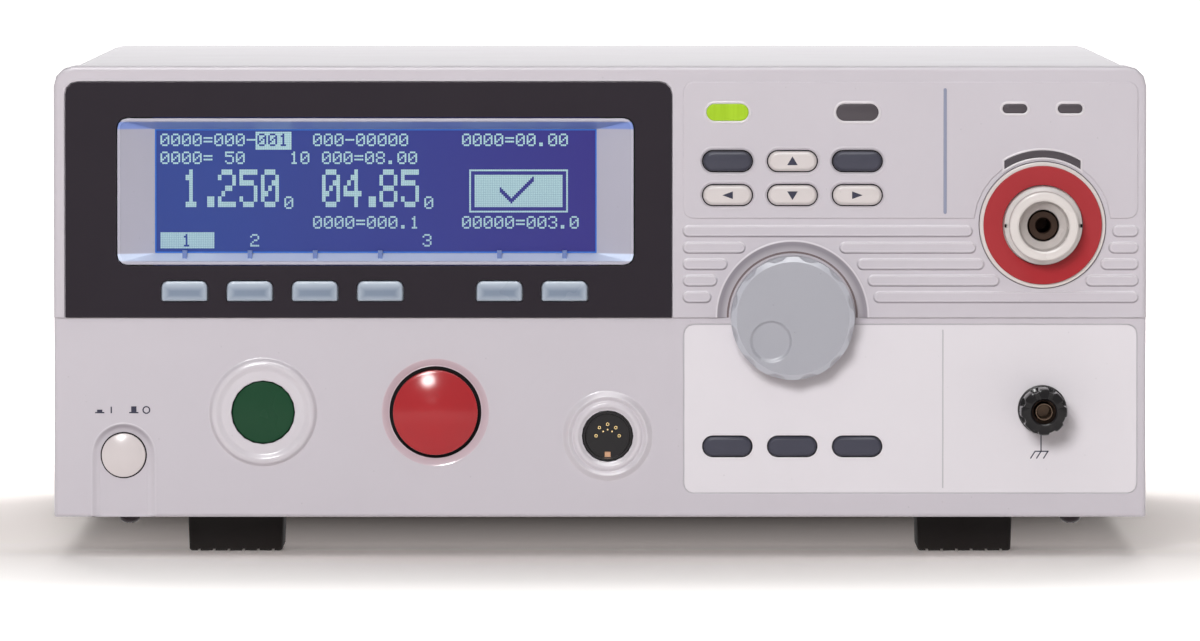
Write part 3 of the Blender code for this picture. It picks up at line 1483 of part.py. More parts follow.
def tilt_leg(name, x, near):
    """Swinging leg with its knuckle and two stub pins, folded up behind the foot."""
    pivot_y = near + LEG_PIVOT_SETBACK
    half = FOOT_SOLE_WIDTH / 2 - FOOT_EAR - GAP
    centre = (pivot_y, LEG_PIVOT_RISE)
    low = LEG_PIVOT_RISE - LEG_THICKNESS / 2
    end = pivot_y + LEG_LENGTH
    half_thickness = LEG_THICKNESS / 2
    root = math.asin(half_thickness / LEG_KNUCKLE)
    outline = arc(centre, LEG_KNUCKLE, root, 2 * math.pi - root, SMALL)
    tip = (end - half_thickness, low + half_thickness)
    outline += arc(tip, half_thickness, -math.pi / 2, math.pi / 2, HEXAGON)
    leg = piece(
        name, prism([outline], x - half, x + half, axis="X"), black_plastic(),
        pivot=(x, pivot_y, LEG_PIVOT_RISE),
    )
    reach = half + FOOT_EAR * PIN_SHARE
    ends = [(x + sign * reach, pivot_y, LEG_PIVOT_RISE) for sign in (-1, 1)]
    add(leg, rod(*ends, LEG_PIN, SMALL))
    return leg


def feet():
    """Four feet and the two tilt legs of the front pair."""
    near = UPPER_Y + FOOT_SETBACK
    far = CASE_BACK - FOOT_REAR_SETBACK
    for side, sign in (("left", -1), ("right", 1)):
        x = sign * FOOT_SPREAD
        front = piece(f"foot_front_{side}", foot_block(x, near, near + FOOT_LENGTH), black_rubber())
        half = FOOT_SOLE_WIDTH / 2 - FOOT_EAR
        pivot_y = near + LEG_PIVOT_SETBACK
        slot_front = pivot_y - LEG_KNUCKLE - LEG_SLOT_BORDER
        roof = TRAY_Z - GAP - LEG_ROOF
        cut(front, block((x - half, slot_front, -PAST), (x + half, near + FOOT_LENGTH + PAST, roof)))
        bore_reach = half + FOOT_EAR * PIN_SHARE + 2 * GAP
        ends = [(x + end * bore_reach, pivot_y, LEG_PIVOT_RISE) for end in (-1, 1)]
        cut(front, rod(*ends, LEG_PIN + GAP, SMALL))
        tilt_leg(f"tilt_leg_{side}", x, near)
        piece(f"foot_rear_{side}", foot_block(x, far - FOOT_LENGTH, far), black_rubber())


def fan_centre():
    return case_span(0)[1] - FAN_INSET, FLOOR_Z + FAN_RISE


def inlet_centre():
    return case_span(0)[0] + INLET_INSET, FLOOR_Z + INLET_RISE


def d_outline(centre, width, height, inset=0.0):
    """D-shaped plug outline, wider at the top."""
    half, rise = width / 2 - inset, height / 2 - inset
    return [
        (centre[0] - half + PORT_SLANT, centre[1] - rise), (centre[0] + half - PORT_SLANT, centre[1] - rise),
        (centre[0] + half, centre[1] + rise), (centre[0] - half, centre[1] + rise),
    ]


def port_centres():
    """Centre and shell width of each plug socket on the main board."""
    left = main_board_sides()[0]
    z = FLOOR_Z + BOARD_RISE + BOARD_THICKNESS + PORT_BODY_HEIGHT / 2
    return [((left + inset, z), width) for inset, width in zip(PORT_INSETS, PORT_WIDTHS)]


def rear_panel():
    """Steel rear panel with its openings, and the pressed-in earth stud with its nut."""
    left, right = case_span(2 * GAP + SHEET)
    top = TOP_Z - COVER_TOP_INSET - SHEET - GAP
    outline = rounded_box(left, right, FLOOR_Z + GAP, top, (LEAST_RADIUS,) * 2 + (COVER_CORNER,) * 2)
    x, z = inlet_centre()
    holes = [
        circle(fan_centre(), FAN_BORE, ROUND),
        plain_box(
            x - INLET_WIDTH / 2 - GAP, x + INLET_WIDTH / 2 + GAP,
            z - INLET_HEIGHT / 2 - GAP, z + INLET_HEIGHT / 2 + GAP, steps=1,
        ),
    ]
    holes += [d_outline(centre, width, PORT_SHELL_HEIGHT, -GAP) for centre, width in port_centres()]
    panel = piece("rear_panel", prism([outline] + holes, REAR_Y - REAR_SHEET, REAR_Y), sheet_steel())
    stud_x, stud_z = case_span(0)[0] + EARTH_INSET, FLOOR_Z + EARTH_RISE
    add(panel, rod((stud_x, REAR_Y - PAST, stud_z), (stud_x, REAR_Y + EARTH_LENGTH, stud_z), EARTH_STUD))
    nut = rod((stud_x, REAR_Y - PAST / 2, stud_z), (stud_x, REAR_Y + EARTH_NUT_HEIGHT, stud_z), EARTH_NUT, 6)
    add(panel, nut)
    return panel


def sector(centre, inner, outer, start, end, half_bar, steps):
    """Slot between two rings and two bars."""
    inner_trim = math.asin(half_bar / inner)
    outer_trim = math.asin(half_bar / outer)
    points = arc(centre, outer, start + outer_trim, end - outer_trim, steps)
    points += arc(centre, inner, end - inner_trim, start + inner_trim, steps)
    return points


def fan():
    """Axial fan: square frame with its struts, rotor on a pin, and the outer guard."""
    centre = fan_centre()
    x, z = centre
    half = FAN_SIZE / 2
    back = REAR_Y - REAR_SHEET - GAP
    front = back - FAN_DEPTH
    sides = (x - half, x + half, z - half, z + half)
    outline = plain_box(*sides, FAN_CORNER)
    screw = half - FAN_SCREW_INSET
    screws = [
        circle((x + across * screw, z + up * screw), FAN_SCREW_RADIUS, HEXAGON)
        for across in (-1, 1) for up in (-1, 1)
    ]
    frame = piece(
        "fan_frame", prism([outline, circle(centre, FAN_BORE, MEDIUM)], front + FAN_STRUT / 2, back),
        black_plastic(),
    )
    slots = [
        sector(
            centre, FAN_HUB, FAN_BORE - HAIR, math.pi / 2 * index, math.pi / 2 * (index + 1),
            FAN_STRUT_WIDTH / 2, HEXAGON,
        )
        for index in range(4)
    ]
    spider = plain_box(*sides, FAN_CORNER, HAIR)
    add(frame, prism([spider] + slots, front, front + FAN_STRUT))
    cut(frame, prism(screws, front - PAST, back + PAST))
    hub_front = front + FAN_STRUT + GAP + PAST / 2
    add(frame, rod((x, front + PAST, z), (x, hub_front + FAN_PIN_REACH, z), FAN_PIN))
    bore = FAN_PIN + GAP
    bore_end = hub_front + FAN_PIN_REACH + PAST
    hub_back = hub_front + FAN_HUB_LENGTH
    rotor = piece("fan_rotor", turned(centre, [
        (bore, hub_front), (FAN_HUB, hub_front), (FAN_HUB, hub_back - HUB_EDGE),
        (FAN_HUB - HUB_EDGE, hub_back),
        (0, hub_back), (0, bore_end), (bore, bore_end), (bore, hub_front),
    ], COARSE), black_plastic(), pivot=(x, hub_front, z))
    blade_front = hub_front + BLADE_SETBACK
    add(rotor, together([fan_blade(centre, blade_front, index) for index in range(BLADE_COUNT)]))
    fan_guard(centre, outline, screws)


def fan_blade(centre, front, index):
    """One twisted blade: a sheet bent along a helix, then given its thickness."""
    tip = FAN_BORE - BLADE_TIP_GAP
    root = FAN_HUB - PAST
    form = bmesh.new()
    bmesh.ops.create_grid(form, x_segments=3, y_segments=2, size=0.5)
    for vert in form.verts:
        along, across = vert.co.x + 0.5, vert.co.y + 0.5
        radius = root + (tip - root) * across
        angle = 2 * math.pi * index / BLADE_COUNT + BLADE_SWEEP * along
        place = front + BLADE_CHORD * along
        vert.co = (centre[0] + radius * math.cos(angle), place, centre[1] + radius * math.sin(angle))
    data = bpy.data.meshes.new("blade")
    form.to_mesh(data)
    form.free()

    def add_thickness(guide):
        solid = guide.modifiers.new("thickness", "SOLIDIFY")
        solid.thickness = BLADE_THICKNESS
        solid.offset = 0.0

    return tidy(evaluated_mesh(data, add_thickness))


def fan_guard(centre, outline, screws):
    """Stamped guard with ring slots between four bars."""
    pitch = (FAN_BORE - GUARD_HUB) / GUARD_RINGS
    slots = []
    for ring in range(GUARD_RINGS):
        inner = GUARD_HUB + ring * pitch + GUARD_BAR
        outer = GUARD_HUB + (ring + 1) * pitch
        for index in range(4):
            start = math.pi / 4 + math.pi / 2 * index
            slots.append(sector(centre, inner, outer, start, start + math.pi / 2, GUARD_BAR, 3 + ring // 2))
    front = REAR_Y + GAP
    return piece(
        "fan_guard", prism([outline] + slots + screws, front, front + GUARD_THICKNESS), sheet_steel(),
    )


def drawer_sides(border=0.0):
    """Left, right, bottom and top of the fuse drawer."""
    x, z = inlet_centre()
    z -= DRAWER_DROP
    return (
        x - DRAWER_WIDTH / 2 - border, x + DRAWER_WIDTH / 2 + border,
        z - DRAWER_HEIGHT / 2 - border, z + DRAWER_HEIGHT / 2 + border,
    )


def mains_inlet():
    """Mains inlet with its cavity and three pins, and the sliding fuse drawer under it."""
    x, z = inlet_centre()
    face = REAR_Y + GAP + INLET_FLANGE
    front = REAR_Y - INLET_DEPTH
    inlet = piece("mains_inlet", prism([plain_box(
        x - INLET_WIDTH / 2, x + INLET_WIDTH / 2, z - INLET_HEIGHT / 2, z + INLET_HEIGHT / 2, steps=1,
    )], front, REAR_Y + GAP + INLET_FLANGE / 2), black_plastic())
    flange = plain_box(
        x - INLET_FLANGE_WIDTH / 2, x + INLET_FLANGE_WIDTH / 2,
        z - INLET_FLANGE_HEIGHT / 2, z + INLET_FLANGE_HEIGHT / 2, INLET_CORNER,
    )
    add(inlet, prism([flange], REAR_Y + GAP, face))
    middle = z + CAVITY_RISE
    half, rise = CAVITY_WIDTH / 2, CAVITY_HEIGHT / 2
    cavity = [
        (x - half, middle - rise), (x + half, middle - rise), (x + half, middle + rise - CAVITY_CHAMFER),
        (x + half - CAVITY_CHAMFER, middle + rise), (x - half + CAVITY_CHAMFER, middle + rise),
        (x - half, middle + rise - CAVITY_CHAMFER),
    ]
    cut(inlet, prism([cavity], face - CAVITY_DEPTH, face + PAST))
    pins = []
    spots = ((-INLET_PIN_SPREAD, -INLET_PIN_DROP), (0, INLET_PIN_RISE), (INLET_PIN_SPREAD, -INLET_PIN_DROP))
    for across, up in spots:
        pin_x, pin_z = x + across, middle + up
        root = face - CAVITY_DEPTH
        pins.append(block(
            (pin_x - INLET_PIN_WIDTH / 2, root - PAST, pin_z - INLET_PIN_HEIGHT / 2),
            (pin_x + INLET_PIN_WIDTH / 2, root + INLET_PIN_LENGTH, pin_z + INLET_PIN_HEIGHT / 2),
        ))
    add(inlet, together(pins))
    left, right, bottom, top = drawer_sides(GAP)
    cut(inlet, block((left, face - DRAWER_LENGTH - GAP, bottom), (right, face + PAST, top)))
    left, right, bottom, top = drawer_sides()
    drawer = piece("fuse_drawer", block(
        (left, face - DRAWER_LENGTH, bottom), (right, face + DRAWER_GRIP / 2, top),
    ), black_plastic(), pivot=((left + right) / 2, face, (bottom + top) / 2))
    add(drawer, block(
        (left + DRAWER_GRIP_INSET, face, bottom + DRAWER_GRIP_BORDER),
        (right - DRAWER_GRIP_INSET, face + DRAWER_GRIP, top - DRAWER_GRIP_BORDER),
    ))
    cut(drawer, block(
        (left + DRAWER_WALL, face - DRAWER_LENGTH + DRAWER_WALL, bottom + DRAWER_FLOOR),
        (right - DRAWER_WALL, face - DRAWER_FACE, top + PAST),
    ))


def main_board_sides():
    """Left, right, front and back of the main board."""
    left = case_span(0)[0] + BOARD_LEFT
    right = case_span(0)[1] - BOARD_RIGHT
    front = CHASSIS_Y + BOARD_FRONT
    back = REAR_Y - REAR_SHEET - BOARD_REAR
    return left, right, front, back


def main_board():
    """Main circuit board with its heat sink and the plug sockets that show at the rear."""
    left, right, front, back = main_board_sides()
    z = FLOOR_Z + BOARD_RISE
    top = z + BOARD_THICKNESS
    board = piece("main_board", block((left, front, z), (right, back, top)), board_green())
    sink_x = (left + right) / 2 - SINK_FINS * FIN_PITCH / 2
    sink_front = front + SINK_SETBACK
    sink_end = sink_front + SINK_LENGTH
    sink_right = sink_x + (SINK_FINS - 1) * FIN_PITCH + FIN_THICKNESS
    add(board, block(
        (sink_x, sink_front, top - BOARD_THICKNESS / 2), (sink_right, sink_end, top + SINK_BASE),
    ))
    fins = []
    for index in range(SINK_FINS):
        fin_x = sink_x + index * FIN_PITCH
        fins.append(block(
            (fin_x + HAIR, sink_front + HAIR, top + SINK_BASE - PAST),
            (fin_x + FIN_THICKNESS - HAIR, sink_end - HAIR, top + SINK_HEIGHT),
        ))
    add(board, together(fins))
    for centre, width in port_centres():
        half = width / 2 + PORT_BODY_BORDER
        add(board, block(
            (centre[0] - half, back - PORT_BODY_LENGTH, top - BOARD_THICKNESS / 2),
            (centre[0] + half, back - GAP, top + PORT_BODY_HEIGHT),
        ))
        shell = d_outline(centre, width, PORT_SHELL_HEIGHT)
        add(board, prism([shell], back - PAST, REAR_Y + PORT_SHELL_PROUD))
        cavity = d_outline(centre, width, PORT_SHELL_HEIGHT, PORT_SHELL_WALL)
        cut(board, prism([cavity], REAR_Y, REAR_Y + PORT_SHELL_PROUD + PAST))
    return board


def hv_transformer():
    """High-voltage transformer: laminated core with two windows and its coil."""
    left = case_span(0)[0] + CORE_INSET
    front = CHASSIS_Y + CORE_SETBACK
    low = FLOOR_Z + GAP
    right, high = left + CORE_WIDTH, low + CORE_HEIGHT
    middle = (left + right) / 2
    back = front + CORE_THICKNESS
    core = piece("hv_transformer", block((left, front, low), (right, back, high)), core_steel())
    windows = [
        block((start, front - PAST, low + CORE_LEG), (end, back + PAST, high - CORE_LEG))
        for start, end in ((left + CORE_LEG, middle - CORE_LEG), (middle + CORE_LEG, right - CORE_LEG))
    ]
    cut(core, together(windows))
    inset = CORE_LEG + COIL_GAP
    coil = plain_box(
        left + inset, right - inset, front - COIL_OVERHANG, back + COIL_OVERHANG, COIL_CORNER,
    )
    add(core, prism([coil], low + inset, high - inset, axis="Z"))
    return core


def power_supply():
    """Enclosed power supply with a slotted lid, on the floor behind the mains inlet."""
    left = case_span(0)[0] + CORE_INSET
    back = REAR_Y - REAR_SHEET - SUPPLY_REAR
    front = back - SUPPLY_LENGTH
    low = FLOOR_Z + GAP
    top = low + SUPPLY_HEIGHT
    right = left + SUPPLY_WIDTH
    wall = SUPPLY_WALL
    box = piece("power_supply", block((left, front, low), (right, back, top)), sheet_steel())
    cut(box, block((left + wall, front + wall, low + wall), (right - wall, back - wall, top - wall)))
    slots = []
    for index in range(SUPPLY_SLOTS):
        y = front + SUPPLY_LENGTH / 2 + (index - (SUPPLY_SLOTS - 1) / 2) * SUPPLY_SLOT_PITCH
        slots.append(rectangle(
            left + SUPPLY_SLOT_INSET, right - SUPPLY_SLOT_INSET,
            y - SUPPLY_SLOT_WIDTH / 2, y + SUPPLY_SLOT_WIDTH / 2,
        ))
    cut(box, prism(slots, top - 2 * wall, top + PAST, axis="Z"))
    return box


def build():
    """Make every piece of the tester."""
    clear_scene()
    new_collection(PARTS)
    new_collection(TOOLS)
    front_bezel()
    display_fascia()
    display_frame()
    screen_module()
    keys()
    lamps()
    overlay_panel()
    knob()
    encoder()
    buttons()
    remote_socket()
    high_voltage_terminal()
    return_post()
    front_board()
    front_chassis()
    top_cover()
    chassis_tray()
    feet()
    rear_panel()
    fan()
    mains_inlet()
    main_board()
    hv_transformer()
    power_supply()


build()
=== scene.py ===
"""Looks of a bench electrical safety tester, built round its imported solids.

Metres, in the frame of the solids: +X to the right seen from the front, +Y to the back, +Z up.
"""

import json
import math

import bmesh
import bpy
from mathutils import Matrix, Vector

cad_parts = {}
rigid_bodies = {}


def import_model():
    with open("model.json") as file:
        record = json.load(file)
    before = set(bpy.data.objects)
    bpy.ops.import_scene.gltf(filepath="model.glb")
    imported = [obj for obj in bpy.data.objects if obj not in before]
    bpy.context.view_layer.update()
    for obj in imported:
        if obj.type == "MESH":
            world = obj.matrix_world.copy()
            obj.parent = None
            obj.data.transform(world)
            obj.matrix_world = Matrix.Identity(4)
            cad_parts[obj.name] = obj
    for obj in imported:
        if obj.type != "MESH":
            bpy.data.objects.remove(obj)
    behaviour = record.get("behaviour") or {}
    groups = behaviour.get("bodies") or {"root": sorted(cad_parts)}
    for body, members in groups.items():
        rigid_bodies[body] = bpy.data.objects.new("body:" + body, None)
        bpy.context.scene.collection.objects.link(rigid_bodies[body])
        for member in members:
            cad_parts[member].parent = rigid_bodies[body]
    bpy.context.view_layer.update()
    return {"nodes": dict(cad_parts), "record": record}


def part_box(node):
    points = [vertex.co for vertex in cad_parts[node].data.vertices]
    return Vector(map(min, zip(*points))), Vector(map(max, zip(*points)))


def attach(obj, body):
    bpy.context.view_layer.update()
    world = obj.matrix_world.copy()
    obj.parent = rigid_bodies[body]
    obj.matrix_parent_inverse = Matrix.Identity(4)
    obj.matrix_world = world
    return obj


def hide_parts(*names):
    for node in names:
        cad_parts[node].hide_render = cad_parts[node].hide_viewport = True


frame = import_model()
NODES = frame["nodes"]

# Small distances shared by the printed and fitted pieces
PRINT = 0.00004
HAIR = 0.00002
SKIN = 0.00005
GAP = 0.0003
ROUND_STEPS = 96
SHARP_ANGLE = math.radians(32)
FINE_ANGLE = math.radians(60)

# Keys and lamps of the front
DARK_KEYS = ("escape_key", "page_key", "mode_key", "edit_key", "utility_key")
ROUND_KEYS = ("escape_key", "up_key", "page_key", "left_key", "down_key", "right_key",
              "mode_key", "edit_key", "utility_key")
SOFT_KEYS = [f"soft_key_{number}" for number in range(1, 7)]
KEY_WIDTH = 0.0147
KEY_HEIGHT = 0.006
KEY_EDGE = 0.00095
KEY_LIP = 0.0012
KEY_WELL = 0.0012
SOFT_KEY_EDGE = 0.0006
SOFT_KEY_CORNERS = (0.0006, 0.0006, 0.0019, 0.0019)
LAMP_EDGE = 0.00025
LAMP_LIP = 0.0008
ARC_LAMP_INNER = 0.0204
ARC_LAMP_OUTER = 0.0225
ARC_LAMP_HALF_WIDTH = 0.01145
SCREEN_SIDE = 0.0112
SCREEN_SILL = 0.0034

# Knob, its arch, the arch of the power button, and the cap of the return post
KNOB_BEVEL = 0.0016
SCALLOP_COUNT = 12
SCALLOP_BALL = 0.0052
SCALLOP_DEPTH = 0.0011
DIMPLE_RADIUS = 0.0062
DIMPLE_DEPTH = 0.0011
ARCH_INNER = 0.0198
ARCH_HALF_WIDTH = 0.0096
CAP_RADIUS = 0.007
CAP_GROOVES = 8
CAP_GROOVE = 0.0014

# Moulded ribs of the upper section
RIB_COUNT = 5
RIB_PITCH = 0.00498
RIB_HEIGHT = 0.003
RIB_TOP_DROP = 0.0498
RIB_KNOB_REACH = 0.0254
RIB_TERMINAL_REACH = 0.0214

# Plug sockets on the rear
SERIAL_WIDTH = 0.017
SERIAL_INSET = 0.03
SIGNAL_WIDTH = 0.039
SIGNAL_INSET = 0.095
PORT_RISE = 0.00785
PORT_SHELL_HEIGHT = 0.0083
PORT_SHELL_PROUD = 0.0055
PORT_SHELL_WALL = 0.0008
PORT_SLANT = 0.0012
PORT_FLANGE_REACH = 0.0068
PORT_FLANGE_RISE = 0.0056
PIN_PITCH = 0.00277
PIN_ROW = 0.00284

# Soles of the feet
SOLE_GROOVES = 6
SOLE_PITCH = 0.0045
SOLE_GROOVE = 0.0009
SOLE_DEPTH = 0.0006


# Places read from the solids

def middle(node):
    low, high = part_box(node)
    return (low + high) / 2


def face_of(node):
    """Y of the frontmost point of a solid."""
    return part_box(node)[0].y


BEZEL_LOW, BEZEL_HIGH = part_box("front_bezel")
FASCIA_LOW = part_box("display_fascia")[0]
OVERLAY_LOW, OVERLAY_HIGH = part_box("overlay_panel")
FRAME_LOW, FRAME_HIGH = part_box("display_frame")
MODULE_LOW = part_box("screen_module")[0]
UPPER_Y = FASCIA_LOW.y
LOWER_TOP = FASCIA_LOW.z
PANEL_Y = UPPER_Y - 0.0004
LOWER_Y = OVERLAY_LOW.y
LIP_FRONT = LOWER_Y + 0.0033
REAR_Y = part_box("fan_guard")[0].y - GAP
KNOB = middle("knob")
TERMINAL = middle("hv_terminal_body")
POST = middle("return_base")
START = middle("start_button")
STOP = middle("stop_button")
POWER = middle("power_button")
REMOTE = middle("remote_socket")
RIB_TOP = BEZEL_HIGH.z - RIB_TOP_DROP
BOARD_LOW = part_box("main_board")[0]
SERIAL_X = BOARD_LOW.x + SERIAL_INSET
SIGNAL_X = BOARD_LOW.x + SIGNAL_INSET
PORT_Z = BOARD_LOW.z + PORT_RISE


# Node groups shared by the materials

def tone(red, green, blue):
    """Linear colour of a colour written as 0 to 255."""
    linear = []
    for value in (red, green, blue):
        share = value / 255
        linear.append(share / 12.92 if share <= 0.04045 else ((share + 0.055) / 1.055) ** 2.4)
    return (*linear, 1.0)


def new_group(name, inputs, outputs):
    """Empty shader group with its named sockets."""
    group = bpy.data.node_groups.new(name, "ShaderNodeTree")
    for label, value in inputs:
        socket = group.interface.new_socket(label, in_out="INPUT", socket_type="NodeSocketFloat")
        socket.default_value = value
    for label in outputs:
        group.interface.new_socket(label, in_out="OUTPUT", socket_type="NodeSocketFloat")
    entry = group.nodes.new("NodeGroupInput")
    leave = group.nodes.new("NodeGroupOutput")
    return group, entry, leave


def math_node(tree, operation, first, second=0.5):
    """Maths node fed by sockets or numbers."""
    node = tree.nodes.new("ShaderNodeMath")
    node.operation = operation
    for index, value in enumerate((first, second)):
        if hasattr(value, "is_linked"):
            tree.links.new(value, node.inputs[index])
        else:
            node.inputs[index].default_value = value
    return node.outputs[0]


def noise_node(tree, vector, scale, detail=2.0, roughness=0.5):
    """Noise fed by a vector; scale is a socket or a number."""
    node = tree.nodes.new("ShaderNodeTexNoise")
    tree.links.new(vector, node.inputs["Vector"])
    if hasattr(scale, "is_linked"):
        tree.links.new(scale, node.inputs["Scale"])
    else:
        node.inputs["Scale"].default_value = scale
    node.inputs["Detail"].default_value = detail
    node.inputs["Roughness"].default_value = roughness
    return node.outputs["Fac"]


def spread(tree, value, low, high, new_low, new_high):
    """Map a value from one range to another, held inside it."""
    node = tree.nodes.new("ShaderNodeMapRange")
    for label, number in (("From Min", low), ("From Max", high), ("To Min", new_low), ("To Max", new_high)):
        node.inputs[label].default_value = number
    tree.links.new(value, node.inputs["Value"])
    return node.outputs["Result"]


def object_place(tree):
    return tree.nodes.new("ShaderNodeTexCoord").outputs["Object"]


def split_axes(tree, vector):
    """X, Y and Z of a vector."""
    split = tree.nodes.new("ShaderNodeSeparateXYZ")
    tree.links.new(vector, split.inputs[0])
    return tuple(split.outputs)


def moulded_surface():
    """Fine grain, softened edges, broad blotches and rare specks."""
    group, entry, leave = new_group(
        "moulded_surface",
        (("Fineness", 2200.0), ("Grain", 0.05), ("Edge", 0.0003)), ("Blotch", "Speck"),
    )
    group.interface.new_socket("Normal", in_out="OUTPUT", socket_type="NodeSocketVector")
    where = object_place(group)
    fine = noise_node(group, where, entry.outputs["Fineness"], 3.0, 0.6)
    broad = noise_node(group, where, 26.0, 4.0, 0.55)
    specks = group.nodes.new("ShaderNodeTexVoronoi")
    group.links.new(where, specks.inputs["Vector"])
    specks.inputs["Scale"].default_value = 170.0
    soft = group.nodes.new("ShaderNodeBevel")
    soft.samples = 4
    group.links.new(entry.outputs["Edge"], soft.inputs["Radius"])
    bump = group.nodes.new("ShaderNodeBump")
    bump.inputs["Distance"].default_value = 0.0002
    group.links.new(entry.outputs["Grain"], bump.inputs["Strength"])
    group.links.new(fine, bump.inputs["Height"])
    group.links.new(soft.outputs["Normal"], bump.inputs["Normal"])
    group.links.new(bump.outputs["Normal"], leave.inputs["Normal"])
    group.links.new(spread(group, broad, 0.3, 0.7, 0.0, 1.0), leave.inputs["Blotch"])
    speck = spread(group, specks.outputs["Distance"], 0.03, 0.05, 1.0, 0.0)
    group.links.new(math_node(group, "MULTIPLY", speck, broad), leave.inputs["Speck"])
    return group


def settled_dust():
    """Dust that lies on faces that look up, in uneven patches."""
    group, entry, leave = new_group("settled_dust", (("Amount", 0.2),), ("Mask",))
    normal = group.nodes.new("ShaderNodeNewGeometry").outputs["Normal"]
    upward = spread(group, split_axes(group, normal)[2], 0.4, 1.0, 0.0, 1.0)
    patches = spread(group, noise_node(group, object_place(group), 40.0, 6.0, 0.65), 0.35, 0.7, 0.2, 1.0)
    mask = math_node(group, "MULTIPLY", upward, patches)
    group.links.new(math_node(group, "MULTIPLY", mask, entry.outputs["Amount"]), leave.inputs["Mask"])
    return group


def rubbed_edge_and_sheen():
    """Edges polished by handling, and lighter as a painted edge highlight: where the normal turns within a
    short reach.
    """
    group, entry, leave = new_group("rubbed_edge_and_sheen", (("Reach", 0.0005), ("Amount", 0.5)), ("Mask",))
    bevel = group.nodes.new("ShaderNodeBevel")
    bevel.samples = 4
    group.links.new(entry.outputs["Reach"], bevel.inputs["Radius"])
    flat = group.nodes.new("ShaderNodeNewGeometry").outputs["Normal"]
    turn = group.nodes.new("ShaderNodeVectorMath")
    turn.operation = "DOT_PRODUCT"
    group.links.new(bevel.outputs["Normal"], turn.inputs[0])
    group.links.new(flat, turn.inputs[1])
    edge = spread(group, turn.outputs["Value"], 0.8, 0.99, 1.0, 0.0)
    patches = spread(group, noise_node(group, object_place(group), 90.0, 5.0, 0.6), 0.4, 0.65, 0.5, 1.0)
    mask = math_node(group, "MULTIPLY", edge, patches)
    group.links.new(math_node(group, "MULTIPLY", mask, entry.outputs["Amount"]), leave.inputs["Mask"])
    return group


def brushed_lines():
    """Fine lines drawn out along one direction."""
    group, entry, leave = new_group(
        "brushed_lines", (("Along X", 20.0), ("Along Y", 1500.0), ("Along Z", 1500.0)), ("Height", "Shade"),
    )
    stretch = group.nodes.new("ShaderNodeCombineXYZ")
    for index, label in enumerate(("Along X", "Along Y", "Along Z")):
        group.links.new(entry.outputs[label], stretch.inputs[index])
    scaled = group.nodes.new("ShaderNodeVectorMath")
    scaled.operation = "MULTIPLY"
    group.links.new(object_place(group), scaled.inputs[0])
    group.links.new(stretch.outputs[0], scaled.inputs[1])
    lines = noise_node(group, scaled.outputs[0], 1.0, 4.0, 0.6)
    group.links.new(lines, leave.inputs["Height"])
    group.links.new(spread(group, lines, 0.35, 0.65, 0.0, 1.0), leave.inputs["Shade"])
    return group


SURFACE = moulded_surface()
DUST = settled_dust()
RUB_AND_SHEEN = rubbed_edge_and_sheen()
LINES = brushed_lines()


def place_group(tree, group, **values):
    """A group in a material, with its own values."""
    node = tree.nodes.new("ShaderNodeGroup")
    node.node_tree = group
    for label, value in values.items():
        node.inputs[label.replace("_", " ")].default_value = value
    return node.outputs


def mix_colour(tree, share, first, second):
    """Blend of two colours by a mask socket."""
    node = tree.nodes.new("ShaderNodeMix")
    node.data_type = "RGBA"
    tree.links.new(share, node.inputs["Factor"])
    for label, value in (("A", first), ("B", second)):
        socket = next(s for s in node.inputs if s.name == label and s.type == "RGBA")
        if hasattr(value, "is_linked"):
            tree.links.new(value, socket)
        else:
            socket.default_value = value
    return next(s for s in node.outputs if s.type == "RGBA")


def shade(colour, factor):
    return (*[min(1.0, part * factor) for part in colour[:3]], 1.0)


def moulded(name, colour, roughness, grain=0.05, fineness=2200.0, blotch=0.05, dust=0.0, rub_and_sheen=0.0,
            edge=0.0002, coat=0.0, specular=0.5):
    """Moulded, painted or printed surface with grain, uneven gloss, dust, and edges lightened both as rubbed
    wear and as painted highlight.
    """
    material = bpy.data.materials.new(name)
    material.use_nodes = True
    tree = material.node_tree
    shader = tree.nodes["Principled BSDF"]
    shader.inputs["Coat Weight"].default_value = coat
    shader.inputs["Coat Roughness"].default_value = 0.12
    shader.inputs["Specular IOR Level"].default_value = specular
    surface = place_group(tree, SURFACE, Fineness=fineness, Grain=grain, Edge=edge)
    painted = mix_colour(tree, surface["Blotch"], shade(colour, 1 - blotch), shade(colour, 1 + blotch / 2))
    painted = mix_colour(tree, surface["Speck"], painted, shade(colour, 0.8))
    gloss = spread(tree, surface["Blotch"], 0.0, 1.0, roughness * 0.88, min(1.0, roughness * 1.12))
    if rub_and_sheen:
        # Lighter edges: partly rubbed wear, partly a painted highlight along the rims.
        wear_and_sheen = place_group(tree, RUB_AND_SHEEN, Amount=rub_and_sheen)["Mask"]
        painted = mix_colour(tree, wear_and_sheen, painted, shade(colour, 1.3))
        gloss = math_node(tree, "SUBTRACT", gloss, math_node(tree, "MULTIPLY", wear_and_sheen, 0.15))
    if dust:
        lying = place_group(tree, DUST, Amount=dust)["Mask"]
        painted = mix_colour(tree, lying, painted, tone(196, 190, 180))
        gloss = math_node(tree, "ADD", gloss, math_node(tree, "MULTIPLY", lying, 0.3))
    tree.links.new(painted, shader.inputs["Base Color"])
    tree.links.new(gloss, shader.inputs["Roughness"])
    tree.links.new(surface["Normal"], shader.inputs["Normal"])
    return material


